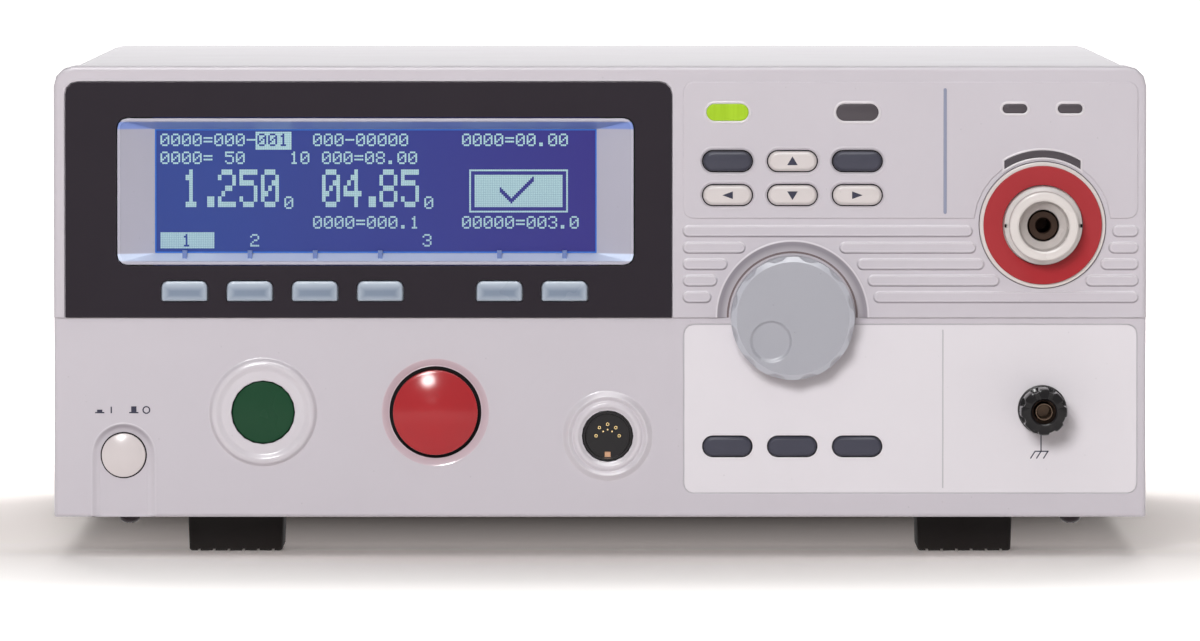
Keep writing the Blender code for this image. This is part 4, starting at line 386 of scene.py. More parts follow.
def metal(name, colour, roughness, along=(20.0, 1500.0, 1500.0), depth=0.06, shade_range=0.1):
    """Bare or plated metal with drawn lines."""
    material = bpy.data.materials.new(name)
    material.use_nodes = True
    tree = material.node_tree
    shader = tree.nodes["Principled BSDF"]
    shader.inputs["Metallic"].default_value = 1.0
    lines = place_group(tree, LINES, Along_X=along[0], Along_Y=along[1], Along_Z=along[2])
    surface = place_group(tree, SURFACE, Fineness=900.0)
    darker = shade(colour, 1 - shade_range)
    toned = mix_colour(tree, lines["Shade"], darker, shade(colour, 1 + shade_range / 2))
    toned = mix_colour(tree, surface["Blotch"], toned, darker)
    tree.links.new(toned, shader.inputs["Base Color"])
    rough = spread(tree, lines["Shade"], 0.0, 1.0, roughness * 0.8, min(1.0, roughness * 1.25))
    tree.links.new(rough, shader.inputs["Roughness"])
    bump = tree.nodes.new("ShaderNodeBump")
    bump.inputs["Strength"].default_value = depth
    bump.inputs["Distance"].default_value = 0.0001
    tree.links.new(lines["Height"], bump.inputs["Height"])
    tree.links.new(bump.outputs["Normal"], shader.inputs["Normal"])
    return material


# Materials of the tester

def case_plastic():
    return moulded("case_plastic_finish", tone(195, 189, 196), 0.36, grain=0.04, blotch=0.012, dust=0.06,
                   rub_and_sheen=0.9, edge=0.00045, specular=0.4)


def cover_paint():
    return moulded("cover_paint_finish", tone(208, 204, 209), 0.38, grain=0.1, fineness=1500.0, blotch=0.015,
                   dust=0.08, rub_and_sheen=0.3)


def fascia_black():
    return moulded("fascia_finish", tone(45, 40, 46), 0.5, grain=0.03, blotch=0.05, specular=0.06)


def overlay_print():
    return moulded("overlay_finish", tone(218, 213, 218), 0.4, grain=0.05, fineness=3000.0, blotch=0.01,
                   edge=0.0001)


def knob_grey():
    return moulded("knob_grey_finish", tone(160, 160, 168), 0.4, grain=0.05, blotch=0.03)


def knob_radius(tree):
    """Distance from the axis of the knob."""
    x, _, z = split_axes(tree, object_place(tree))
    aside = math_node(tree, "SUBTRACT", x, KNOB.x)
    above = math_node(tree, "SUBTRACT", z, KNOB.z)
    return math_node(tree, "SQRT", math_node(
        tree, "ADD", math_node(tree, "MULTIPLY", aside, aside), math_node(tree, "MULTIPLY", above, above)))


def knob_plastic_painted_highlight():
    """Grey plastic with a painted highlight on the bevel round the face."""
    material = moulded("knob_painted_highlight_finish", tone(160, 160, 168), 0.3, grain=0.04, fineness=2600.0, blotch=0.03,
                       rub_and_sheen=0.5, edge=0.0001)
    # Painted highlight: the bevel ring beyond the face is made lighter.
    bevel = spread(material.node_tree, knob_radius(material.node_tree), 0.0169, 0.0171, 0.0, 0.75)
    recolour(material, bevel, tone(188, 189, 198))
    return material


def arch_plastic_painted_shade():
    """Case plastic with painted shade towards the outer wall of the cove, and a painted highlight along its
    lip.
    """
    material = moulded("arch_painted_shade_finish", tone(192, 186, 192), 0.4, grain=0.03, blotch=0.01)
    tree = material.node_tree
    # Painted shade on the cove's wall, then a painted highlight along the outer lip.
    recolour(material, spread(tree, knob_radius(tree), 0.0199, 0.0217, 0.0, 1.0), tone(150, 144, 151))
    recolour(material, spread(tree, knob_radius(tree), 0.0226, 0.0228, 0.0, 1.0), tone(206, 200, 206))
    return material


def rib_plastic_painted_shade(name="rib_painted_shade_finish"):
    """Case plastic with a painted highlight on the edges that look up and painted shade under those that
    look down.
    """
    material = moulded(name, tone(198, 192, 199), 0.34, grain=0.03, blotch=0.01)
    tree = material.node_tree
    upward = split_axes(tree, tree.nodes.new("ShaderNodeNewGeometry").outputs["Normal"])[2]
    # Painted highlight on faces that look up, painted shade on faces that look down.
    recolour(material, spread(tree, upward, 0.1, 0.6, 0.0, 0.9), tone(230, 225, 231))
    recolour(material, spread(tree, upward, -0.1, -0.6, 0.0, 0.8), tone(150, 143, 151))
    return material


# Dark brown of the painted shadow in the gap between the knob and its cove.
def arch_gap_shadow_plastic():
    return moulded("arch_gap_shadow_finish", tone(112, 98, 100), 0.5, grain=0.03, blotch=0.03)


def ring_plastic():
    """Glossier case plastic of the moulded rings."""
    return moulded("ring_finish", tone(204, 198, 204), 0.22, grain=0.02, blotch=0.01, specular=0.5)


def dark_key_plastic():
    return moulded("dark_key_finish", tone(64, 64, 76), 0.32, grain=0.05, blotch=0.04, rub_and_sheen=0.7, specular=0.2)


def cream_plastic():
    return moulded("cream_key_finish", tone(206, 198, 197), 0.3, grain=0.03, blotch=0.02, rub_and_sheen=0.2)


def terminal_cream():
    return moulded("terminal_finish", tone(212, 205, 202), 0.26, grain=0.02, blotch=0.02)


def ring_red():
    return moulded("ring_red_finish", tone(158, 36, 42), 0.5, grain=0.06, blotch=0.03, specular=0.3)


def start_green():
    return moulded("start_green_finish", tone(14, 62, 36), 0.28, grain=0.02, blotch=0.05, specular=0.18)


def stop_red():
    return moulded("stop_red_finish", tone(165, 14, 24), 0.18, grain=0.01, blotch=0.04, specular=0.4)


def black_plastic():
    return moulded("black_plastic_finish", tone(24, 21, 23), 0.34, grain=0.06, blotch=0.15, dust=0.1,
                   rub_and_sheen=0.4, specular=0.25)


def gap_shadow():
    return moulded("gap_shadow_finish", tone(16, 14, 15), 0.7, grain=0.05, blotch=0.1, specular=0.1)


def foot_rubber():
    return moulded("foot_rubber_finish", tone(30, 26, 25), 0.8, grain=0.3, fineness=1100.0, blotch=0.2,
                   dust=0.15, rub_and_sheen=0.4, specular=0.2)


def lamp_dark():
    return moulded("lamp_dark_finish", tone(72, 66, 71), 0.25, grain=0.02, blotch=0.04, specular=0.25)


def rim_plastic():
    return moulded("rim_finish", tone(208, 202, 207), 0.35, grain=0.03, blotch=0.01)


def print_ink():
    return moulded("print_ink_finish", tone(54, 54, 70), 0.5, grain=0.03, blotch=0.05, specular=0.2)


def separator_ink():
    return moulded("separator_finish", tone(134, 138, 160), 0.45, grain=0.03, blotch=0.03)


def groove_ink():
    return moulded("overlay_line_finish", tone(186, 183, 188), 0.45, grain=0.03, blotch=0.02)


def board_green():
    return moulded("board_green_finish", tone(34, 92, 56), 0.35, grain=0.2, fineness=700.0, blotch=0.2)


def bright_metal():
    return metal("bright_metal_finish", tone(205, 200, 194), 0.22)


def brass_metal():
    return metal("brass_finish", tone(196, 158, 92), 0.25)


def gold_contact():
    return metal("gold_contact_finish", tone(206, 182, 132), 0.2)


def copper_key():
    return metal("copper_key_finish", tone(184, 144, 116), 0.4)


def dark_bronze():
    return metal("dark_bronze_finish", tone(58, 46, 40), 0.4)


def post_metal():
    return metal("post_metal_finish", tone(100, 84, 72), 0.3)


def dark_steel():
    return moulded("dark_steel_finish", tone(52, 44, 48), 0.34, grain=0.1, blotch=0.2, specular=0.1)


def recess_plastic_painted_reflection():
    """Glossy ring round the stop button, tinted pink as a painted reflection of its red."""
    return moulded("recess_painted_reflection_finish", tone(206, 190, 198), 0.16, grain=0.01, blotch=0.01, coat=0.3)


def cream_cap():
    return moulded("power_cap_finish", tone(208, 199, 199), 0.24, grain=0.02, blotch=0.02)


def glossy_black():
    return moulded("post_cap_finish", tone(17, 14, 16), 0.14, grain=0.02, blotch=0.1, rub_and_sheen=0.6, specular=0.2)


# Grey of the painted shadow along the terminal's flange seam.
def seam_shadow_plastic():
    return moulded("seam_shadow_finish", tone(112, 104, 110), 0.5, grain=0.03, blotch=0.05)


def rear_steel():
    return metal("sheet_steel_finish", tone(188, 189, 190), 0.42, along=(12.0, 900.0, 900.0), depth=0.05)


def core_steel():
    return metal("core_steel_finish", tone(96, 94, 92), 0.55, along=(30.0, 2400.0, 30.0), depth=0.5,
                 shade_range=0.4)


def recolour(material, mask, colour):
    """Lay a colour over a material's own by a mask."""
    tree = material.node_tree
    socket = tree.nodes["Principled BSDF"].inputs["Base Color"]
    painted = socket.links[0].from_socket
    tree.links.new(mix_colour(tree, mask, painted, colour), socket)


def shares(tree):
    """How far along X and Z a point lies in its own piece, from 0 to 1."""
    x, _, z = split_axes(tree, tree.nodes.new("ShaderNodeTexCoord").outputs["Generated"])
    return x, z


def frame_grey():
    """Grey funnel with a painted reflection of the screen's blue light above and below it."""
    material = moulded("display_frame_painted_glow_finish", tone(172, 170, 184), 0.36, grain=0.04, blotch=0.03)
    tree = material.node_tree
    height = shares(tree)[1]
    above = math_node(tree, "MULTIPLY", spread(tree, height, 0.92, 0.93, 0.0, 0.85),
                      spread(tree, height, 0.97, 0.98, 1.0, 0.0))
    below = math_node(tree, "MULTIPLY", spread(tree, height, 0.07, 0.08, 0.95, 0.0),
                      spread(tree, height, 0.02, 0.03, 0.0, 1.0))
    # Painted reflection of the screen's light: deep blue on the wall above the glass, pale blue on the wall
    # below.
    recolour(material, above, tone(106, 134, 204))
    recolour(material, below, tone(218, 230, 254))
    return material


def soft_key_plastic_painted_highlight():
    """Blue grey key with a painted highlight towards its edges, strongest at the top."""
    material = moulded("soft_key_painted_highlight_finish", tone(112, 126, 146), 0.3, grain=0.02, blotch=0.03, coat=0.2)
    tree = material.node_tree
    along, height = shares(tree)
    across = math_node(tree, "ABSOLUTE", math_node(tree, "SUBTRACT", along, 0.5))
    # Painted highlight towards the sides, the top and the bottom of the key.
    side = spread(tree, across, 0.27, 0.44, 0.0, 0.7)
    top = spread(tree, height, 0.5, 0.83, 0.0, 0.9)
    bottom = spread(tree, height, 0.36, 0.14, 0.0, 0.65)
    edge = math_node(tree, "MAXIMUM", side, math_node(tree, "MAXIMUM", top, bottom))
    recolour(material, edge, tone(190, 200, 212))
    return material


def glowing(name, first, second, mask_of, strength, roughness):
    """Lit surface whose colour runs from one to another by a mask."""
    material = moulded(name, first, roughness, grain=0.0, blotch=0.02, specular=0.12)
    tree = material.node_tree
    shader = tree.nodes["Principled BSDF"]
    glow = mix_colour(tree, mask_of(tree), first, second)
    tree.links.new(glow, shader.inputs["Base Color"])
    tree.links.new(glow, shader.inputs["Emission Color"])
    shader.inputs["Emission Strength"].default_value = strength
    return material


def screen_glass():
    """Backlit blue screen that turns more violet to the right."""
    def across(tree):
        return spread(tree, shares(tree)[0], 0.15, 0.95, 0.0, 1.0)

    return glowing("screen_finish", tone(42, 57, 116), tone(46, 42, 106), across, 0.5, 0.2)


def lamp_green():
    """Lit window with the faint upright lines of its diffuser."""
    def stripes(tree):
        return place_group(tree, LINES, Along_X=700.0, Along_Y=5.0, Along_Z=40.0)["Shade"]

    return glowing("lamp_green_finish", tone(142, 176, 36), tone(152, 186, 44), stripes, 0.3, 0.3)


def edge_light():
    """Brighter blue along the edge of the backlight."""
    def height(tree):
        return shares(tree)[1]

    return glowing("screen_edge_finish", tone(44, 92, 168), tone(44, 92, 168), height, 0.6, 0.3)


def tick_blue():
    return moulded("tick_finish", tone(96, 116, 168), 0.4, grain=0.02, blotch=0.03)


def dot_light():
    """Lit dots of the screen."""
    def height(tree):
        return shares(tree)[1]

    return glowing("screen_dot_finish", tone(150, 178, 186), tone(158, 190, 192), height, 0.25, 0.3)


FINISHES = {
    "case_plastic": case_plastic(), "cover_paint": cover_paint(), "fascia_black": fascia_black(),
    "frame_grey": frame_grey(), "screen_blue": screen_glass(), "soft_key_blue": soft_key_plastic_painted_highlight(),
    "dark_key": dark_key_plastic(), "cream_key": cream_plastic(), "lamp_green": lamp_green(),
    "lamp_dark": lamp_dark(), "overlay_white": overlay_print(), "knob_grey": knob_grey(),
    "button_green": start_green(), "button_red": stop_red(), "ring_red": ring_red(),
    "black_plastic": black_plastic(), "black_rubber": foot_rubber(), "bright_metal": bright_metal(),
    "brass": brass_metal(), "sheet_steel": rear_steel(), "board_green": board_green(),
    "core_steel": core_steel(),
}
INK = print_ink()
GAP_DARK = gap_shadow()
GOLD = gold_contact()


def dress_solids():
    """Give every solid its finish and smooth shading over its small facets."""
    slots = {part["node"]: part["material_slot"] for part in frame["record"]["subparts"]}
    own = {"return_insert": dark_bronze()}
    for name, solid in NODES.items():
        mesh = solid.data
        mesh.materials.clear()
        mesh.materials.append(own.get(name) or FINISHES[slots[name]])
        if "custom_normal" in mesh.attributes:
            mesh.attributes.remove(mesh.attributes["custom_normal"])
        mesh.shade_smooth()
        weld = solid.modifiers.new("weld", "WELD")
        weld.merge_threshold = 0.000002
        split = solid.modifiers.new("split", "EDGE_SPLIT")
        split.split_angle = SHARP_ANGLE
        solid.modifiers.new("even", "WEIGHTED_NORMAL")


# Shapes

def arc(centre, radius, start, end, steps):
    """Points of an arc, both ends included."""
    points = []
    for step in range(steps + 1):
        angle = start + (end - start) * step / steps
        points.append((centre[0] + radius * math.cos(angle), centre[1] + radius * math.sin(angle)))
    return points


def circle(centre, radius, steps=ROUND_STEPS):
    return arc(centre, radius, 0.0, 2 * math.pi, steps)[:-1]


def stadium(centre, width, height, border=0.0, steps=16):
    """Bar with full round ends."""
    radius = height / 2 + border
    reach = (width - height) / 2
    right = arc((centre[0] + reach, centre[1]), radius, -math.pi / 2, math.pi / 2, steps)
    left = arc((centre[0] - reach, centre[1]), radius, math.pi / 2, 3 * math.pi / 2, steps)
    return right + left


def rectangle(left, right, bottom, top):
    return [(left, bottom), (right, bottom), (right, top), (left, top)]


def rounded_box(left, right, bottom, top, radii, border=0.0, steps=8):
    """Box with round corners, from the bottom left one on."""
    points = []
    corners = ((left, bottom, 1, 1), (right, bottom, -1, 1), (right, top, -1, -1), (left, top, 1, -1))
    for index, ((x, z, side_x, side_z), radius) in enumerate(zip(corners, radii)):
        centre = (x + side_x * radius, z + side_z * radius)
        start = math.pi + index * math.pi / 2
        points += arc(centre, max(radius + border, HAIR), start, start + math.pi / 2, steps)
    return points


def ring_bar(centre, inner, outer, half_width, steps=24):
    """Bar bent round a centre, cut off upright at both ends."""
    lean_in, lean_out = math.asin(half_width / inner), math.asin(half_width / outer)
    upright = math.pi / 2
    near = arc(centre, inner, upright - lean_in, upright + lean_in, steps)
    far = arc(centre, outer, upright + lean_out, upright - lean_out, steps)
    return near + far


def mesh_of(form):
    """Mesh of a finished form."""
    mesh = bpy.data.meshes.new("form")
    form.to_mesh(mesh)
    form.free()
    return mesh


def outward(form):
    """Mesh of a closed form, its faces turned outward."""
    bmesh.ops.recalc_face_normals(form, faces=form.faces)
    return mesh_of(form)


def flat(point):
    """X and Z of a place on the front."""
    return point.x, point.z


def laid(outline, y):
    """Outline in X and Z laid at a place along Y."""
    return [(x, y, z) for x, z in outline]


def joined(rings, loop=False):
    """Closed mesh over rings of points. A ring of one point closes an end, and a loop joins both ends."""
    form = bmesh.new()
    loops = [[form.verts.new(point) for point in ring] for ring in rings]
    steps = max(len(ring) for ring in loops)
    pairs = list(zip(loops, loops[1:]))
    if loop:
        pairs.append((loops[-1], loops[0]))
    for near, far in pairs:
        for index in range(steps):
            after = (index + 1) % steps
            corners = [near[step % len(near)] for step in (index, after)]
            corners += [far[step % len(far)] for step in (after, index)]
            unique = list(dict.fromkeys(corners))
            if len(unique) > 2:
                form.faces.new(unique)
    if not loop:
        for ring in (loops[0], loops[-1]):
            if len(ring) > 2:
                form.faces.new(ring)
    return outward(form)


def strip(rings):
    """Closed band through open rows of points, with flat ends."""
    form = bmesh.new()
    rows = [[form.verts.new(point) for point in ring] for ring in rings]
    for near, far in zip(rows, rows[1:] + rows[:1]):
        for index in range(len(near) - 1):
            form.faces.new((near[index], near[index + 1], far[index + 1], far[index]))
    for end in (0, -1):
        form.faces.new([row[end] for row in rows])
    return outward(form)


def turned(centre, profile, steps=ROUND_STEPS):
    """Turned form about an axis along Y: radii and Y places, closed where the ends meet."""
    loop = profile[0] == profile[-1]
    if loop:
        profile = profile[:-1]
    rings = []
    for radius, y in profile:
        points = [centre] if radius < 1e-7 else circle(centre, radius, steps)
        rings.append(laid(points, y))
    return joined(rings, loop)


def plate(outline, front, back):
    """Flat outline in X and Z made solid along Y."""
    return joined([laid(outline, y) for y in (front, back)])


def rim(inner, outer, front, back, crown=0.0):
    """Ring between two outlines of equal point count, with a crown between them."""
    middle_line = [((a + c) / 2, (b + d) / 2) for (a, b), (c, d) in zip(inner, outer)]
    levels = ((inner, back), (inner, front), (middle_line, front - crown), (outer, front), (outer, back))
    return joined([laid(outline, y) for outline, y in levels], loop=True)


def merged(meshes):
    """Several closed forms in one mesh."""
    form = bmesh.new()
    for mesh in meshes:
        form.from_mesh(mesh)
    return mesh_of(form)


def place(name, mesh, slot, material=None, body="case", replaces=(), angle=SHARP_ANGLE):
    """A named piece of the scene, riding on its body, in its slot's own finish or in another."""
    mesh.name = name
    mesh.materials.append(material or FINISHES[slot])
    mesh.shade_smooth()
    mesh.set_sharp_from_angle(angle=angle)
    piece = bpy.data.objects.new(name, mesh)
    bpy.context.scene.collection.objects.link(piece)
    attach(piece, body)
    if replaces:
        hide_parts(*replaces)
    return piece


def curve_profile(points):
    """Profile with its corners rounded: each point holds radius, Y and the fillet there."""
    rounded = [points[0][:2]]
    for before, here, after in zip(points, points[1:], points[2:]):
        fillet = here[2] if len(here) > 2 else 0.0
        corner = Vector(here[:2])
        if fillet <= 0:
            rounded.append(tuple(corner))
            continue
        start = corner + (Vector(before[:2]) - corner).normalized() * fillet
        end = corner + (Vector(after[:2]) - corner).normalized() * fillet
        for step in range(5):
            share = step / 4
            bend = start * (1 - share) ** 2 + corner * 2 * share * (1 - share) + end * share ** 2
            rounded.append(tuple(bend))
    rounded.append(points[-1][:2])
    return rounded


# Pieces that stand for solids with a finer form

def capped(outline, face, back, edge, lip):
    """Cap with a bevelled front edge, a straight wall, and a lip behind the front wall."""
    shape = ((1.0, 0.0), (0.88, 0.03), (0.74, 0.14), (0.22, 0.62), (0.06, 0.86), (0.0, 1.2))
    levels = [(-edge * inset, face + edge * sink) for inset, sink in shape]
    levels += [(0.0, LIP_FRONT), (lip, LIP_FRONT), (lip, back)]
    return joined([laid(outline(border), y) for border, y in levels])


def keys():
    """Keys with smooth round ends and corners, in soft wells or thin printed borders."""
    slope = (
        (KEY_WELL + 0.0003, 0.00002), (KEY_WELL, -0.00008), (KEY_WELL - 0.0003, -0.00004),
        (KEY_WELL / 2, 0.00025), (0.00036, 0.0004), (0.00036, 0.001), (KEY_WELL + 0.0003, 0.001),
    )
    wells, borders, gaps = [], [], []
    for name in ROUND_KEYS:
        low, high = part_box(name)
        centre = flat(middle(name))

        def outline(border):
            return stadium(centre, KEY_WIDTH, KEY_HEIGHT, border)

        slot = "dark_key" if name in DARK_KEYS else "cream_key"
        cap = capped(outline, low.y, high.y, KEY_EDGE, KEY_LIP)
        place(f"{name}_cap", cap, slot, body=name, replaces=(name,))
        if low.y < PANEL_Y:
            rows = [laid(outline(border), PANEL_Y + sink) for border, sink in slope]
            wells.append(joined(rows, loop=True))
            gaps.append(rim(outline(0.00005), outline(0.0004), PANEL_Y + 0.00045, PANEL_Y + 0.001))
        else:
            borders.append(rim(outline(0.0003), outline(0.0009), LOWER_Y - 2 * PRINT, LOWER_Y + HAIR, PRINT))
            gaps.append(rim(outline(0.00005), outline(0.00032), LOWER_Y - PRINT, LOWER_Y + HAIR))
    place("key_wells", merged(wells), "case_plastic")
    place("key_borders", merged(borders), "overlay_white")
    # Dark rings of painted shadow in the gaps round the keys.
    place("key_gap_shadows", merged(gaps), "black_plastic", GAP_DARK)
    for name in SOFT_KEYS:
        low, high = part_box(name)
        sides = (low.x + KEY_LIP, high.x - KEY_LIP, low.z + KEY_LIP, high.z - KEY_LIP)

        def corners(border):
            return rounded_box(*sides, SOFT_KEY_CORNERS, border)

        cap = capped(corners, low.y, high.y, SOFT_KEY_EDGE, KEY_LIP)
        place(f"{name}_cap", cap, "soft_key_blue", body=name, replaces=(name,))


def lamps():
    """Light windows with smooth ends, and pale moulded rims round them."""
    rims = []
    for name in ("pass_lamp", "fail_lamp", "ready_lamp", "test_lamp"):
        low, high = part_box(name)
        centre = flat(middle(name))
        width, height = high.x - low.x - 2 * LAMP_LIP, high.z - low.z - 2 * LAMP_LIP

        def outline(border):
            return stadium(centre, width, height, border)

        slot = "lamp_green" if name == "pass_lamp" else "lamp_dark"
        window = capped(outline, low.y, high.y, LAMP_EDGE, LAMP_LIP)
        place(f"{name}_window", window, slot, replaces=(name,))
        rims.append(rim(outline(0.00004), outline(0.0009), PANEL_Y - 0.00005, PANEL_Y + 0.0002, 0.0002))
    low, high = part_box("high_voltage_lamp")

    def curved(border):
        inner, outer = ARC_LAMP_INNER - border, ARC_LAMP_OUTER + border
        return ring_bar(flat(TERMINAL), inner, outer, ARC_LAMP_HALF_WIDTH + border)

    levels = ((-0.0003, low.y), (-0.0001, low.y + 0.00005), (0.0, low.y + 0.00025), (0.0, high.y))
    window = joined([laid(curved(border), y) for border, y in levels])
    place("high_voltage_window", window, "lamp_dark", replaces=("high_voltage_lamp",))
    rims.append(rim(curved(0.00004), curved(0.0007), PANEL_Y - 0.00005, PANEL_Y + 0.0002, 0.0001))
    place("lamp_rims", merged(rims), "case_plastic", rim_plastic())


def knob():
    """Knob with its scallops and finger dimple pressed into a fine turned form."""
    low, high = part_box("knob")
    front, back = low.y, high.y
    radius = (high.x - low.x) / 2
    face_radius = radius - KNOB_BEVEL
    bevel_depth, bore = 0.0012, 0.003
    levels = [(face_radius * step / 44, front) for step in range(1, 45)]
    bevel = [(face_radius + KNOB_BEVEL * step / 8, front + bevel_depth * step / 8) for step in range(1, 9)]
    wall = [(radius, front + bevel_depth + 0.0002 * step) for step in range(1, 14)]
    profile = [(0.0, front)] + levels + bevel + wall + [
        (radius, back - 0.0004), (radius - 0.0004, back), (bore, back), (bore, back - 0.0115),
        (0.0, back - 0.0115),
    ]
    mesh = turned(flat(KNOB), profile, 288)
    reach = radius + SCALLOP_BALL - SCALLOP_DEPTH
    dimple = Vector((KNOB.x - 0.0066, front, KNOB.z - 0.0069))
    for vertex in mesh.vertices:
        point = vertex.co.copy()
        out = Vector((point.x - KNOB.x, 0, point.z - KNOB.z))
        if point.y < front + SCALLOP_BALL and out.length > face_radius - 0.0022:
            turn = math.atan2(out.z, out.x)
            sector = 2 * math.pi / SCALLOP_COUNT
            nearest = (math.floor(turn / sector) + 0.5) * sector
            centre = Vector((KNOB.x + reach * math.cos(nearest), front, KNOB.z + reach * math.sin(nearest)))
            if (point - centre).length < SCALLOP_BALL:
                side = math.sqrt(max(0.0, SCALLOP_BALL ** 2 - (point.y - front) ** 2))
                across = reach * math.sin(turn - nearest)
                inward = math.sqrt(max(0.0, side ** 2 - across ** 2))
                limit = reach * math.cos(turn - nearest) - inward
                if limit < out.length:
                    vertex.co = Vector((KNOB.x, point.y, KNOB.z)) + out.normalized() * limit
        if abs(point.y - front) < 1e-6:
            away = (point - dimple).length
            if away < DIMPLE_RADIUS:
                rise = 1 - (away / DIMPLE_RADIUS) ** 2
                wall_share = min(1.0, (DIMPLE_RADIUS - away) / 0.0006)
                vertex.co.y = front + DIMPLE_DEPTH * (0.35 * rise + 0.65 * wall_share ** 0.8)
    place("knob_wheel", mesh, "knob_grey", knob_plastic_painted_highlight(), "knob_assembly", ("knob",))


def knob_arch():
    """Cove round the knob: a soft lip, a wall and a floor let into the proud upper section, and a dark ring
    of painted shadow at its foot by the knob.
    """
    cove = (
        (0.0233, 0.00004), (0.02305, -0.0001), (0.0228, -0.0001), (0.0225, -0.00003), (0.0221, 0.00013),
        (0.0213, 0.00046), (0.0205, 0.00079), (ARCH_INNER, 0.00108), (ARCH_INNER, 0.0016), (0.0233, 0.0016),
    )
    # Ring of painted shadow in the gap between the cove's floor and the knob.
    line = ((ARCH_INNER, 0.001), (0.0192, 0.001), (0.0192, 0.0014), (ARCH_INNER, 0.0014))

    def half_ring(profile):
        rows = []
        for radius, sink in profile:
            dip = math.asin((LOWER_TOP - KNOB.z) / radius)
            rows.append(laid(arc(flat(KNOB), radius, dip, math.pi - dip, 96), UPPER_Y + sink))
        return strip(rows)

    place("knob_arch", half_ring(cove), "case_plastic", arch_plastic_painted_shade())
    place("knob_arch_gap_shadow", half_ring(line), "case_plastic", arch_gap_shadow_plastic())


def rib_rows():
    """Centre and length of each stretch of rib, stopped short of the knob and the terminal."""
    left_end, right_end = OVERLAY_LOW.x - GAP, OVERLAY_HIGH.x + GAP
    stops = ((KNOB, RIB_KNOB_REACH), (TERMINAL, RIB_TERMINAL_REACH))
    bars = []
    for row in range(RIB_COUNT):
        z = RIB_TOP - row * RIB_PITCH
        left = left_end
        for stop, radius in stops:
            if abs(z - stop.z) < radius:
                half_chord = math.sqrt(radius ** 2 - (z - stop.z) ** 2)
                bars.append((left, stop.x - half_chord, z))
                left = stop.x + half_chord
        bars.append((left, right_end, z))
    return bars


def rib_edges():
    """Rounded rims of the moulded ribs, with a small fillet at their foot."""
    section = (
        (0.0004, -0.00002), (0.00014, -0.00012), (0.00006, -0.0004), (-0.00006, -0.00058),
        (-0.0003, -0.00065), (-0.0006, -0.00062), (-0.0006, -0.0004), (0.0004, 0.0001),
    )
    forms = []
    for left, right, z in rib_rows():
        centre, length = ((left + right) / 2, z), right - left
        rows = []
        for border, rise in section:
            rows.append(laid(stadium(centre, length, RIB_HEIGHT, border), UPPER_Y + rise))
        forms.append(joined(rows, loop=True))
    # The rims' finish paints highlight on their upper sides and shade under their lower sides.
    place("rib_edges", merged(forms), "case_plastic", rib_plastic_painted_shade(), angle=FINE_ANGLE)


def high_voltage_terminal():
    """Cream socket body with its stepped collar, the red ring round it, and the contact inside."""
    low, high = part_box("hv_terminal_body")
    front, back = low.y, high.y
    flange_back = UPPER_Y - 0.0003
    flange_front = flange_back - 0.0015
    sink = front + 0.009
    centre = flat(TERMINAL)
    body = curve_profile([
        (0.0076, front + 0.0004), (0.0081, front, 0.0002), (0.0104, front, 0.0008),
        (0.0104, front + 0.0065, 0.0003), (0.0118, front + 0.0078, 0.0006), (0.0118, flange_front, 0.0002),
        (0.019, flange_front, 0.0004), (0.019, flange_back), (0.0112, flange_back), (0.0112, back),
        (0.0, back), (0.0, back - 0.004), (0.0048, back - 0.004), (0.0048, sink, 0.0003),
        (0.007, sink - 0.003, 0.0004), (0.0076, front + 0.0004),
    ])
    form = turned(centre, body)
    place("high_voltage_body", form, "cream_key", terminal_cream(), replaces=("hv_terminal_body",))
    low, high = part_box("hv_terminal_ring")
    ring = [
        (0.0121, high.y), (0.0121, low.y), (0.0177, low.y), (0.0179, low.y + 0.0002), (0.0179, high.y),
        (0.0121, high.y),
    ]
    place("high_voltage_ring", turned(centre, ring), "ring_red", replaces=("hv_terminal_ring",))
    low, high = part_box("hv_contact")
    contact = [
        (0.0021, low.y + 0.0004), (0.0025, low.y), (0.0042, low.y), (0.0045, low.y + 0.0003),
        (0.0045, high.y), (0.0, high.y), (0.0, high.y - 0.004), (0.0021, high.y - 0.004),
        (0.0021, low.y + 0.0004),
    ]
    place("high_voltage_contact", turned(centre, contact), "brass", dark_bronze(), replaces=("hv_contact",))


def domed_button(name, node, radius, crown, slot, material=None):
    """Push button with a smooth dome and a softened edge."""
    low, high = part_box(node)
    lip = (high.x - low.x) / 2
    lip_front = LIP_FRONT + (0.0035 if node == "power_button" else 0.0)
    stem, edge = 0.005, 0.0004
    profile = [(0.0, low.y)]
    reach = radius - edge
    curvature = (reach ** 2 + crown ** 2) / (2 * crown)
    for step in range(1, 25):
        out = reach * step / 24
        profile.append((out, low.y + curvature - math.sqrt(curvature ** 2 - out ** 2)))
    shoulder = low.y + crown
    for step in range(1, 6):
        turn = math.pi / 2 * step / 5
        profile.append((radius - edge + edge * math.sin(turn), shoulder + edge - edge * math.cos(turn)))
    profile += [
        (radius, lip_front), (lip, lip_front), (lip, lip_front + 0.001), (stem, lip_front + 0.001),
        (stem, high.y), (0.0, high.y),
    ]
    place(name, turned(flat(middle(node)), profile), slot, material, node, (node,))


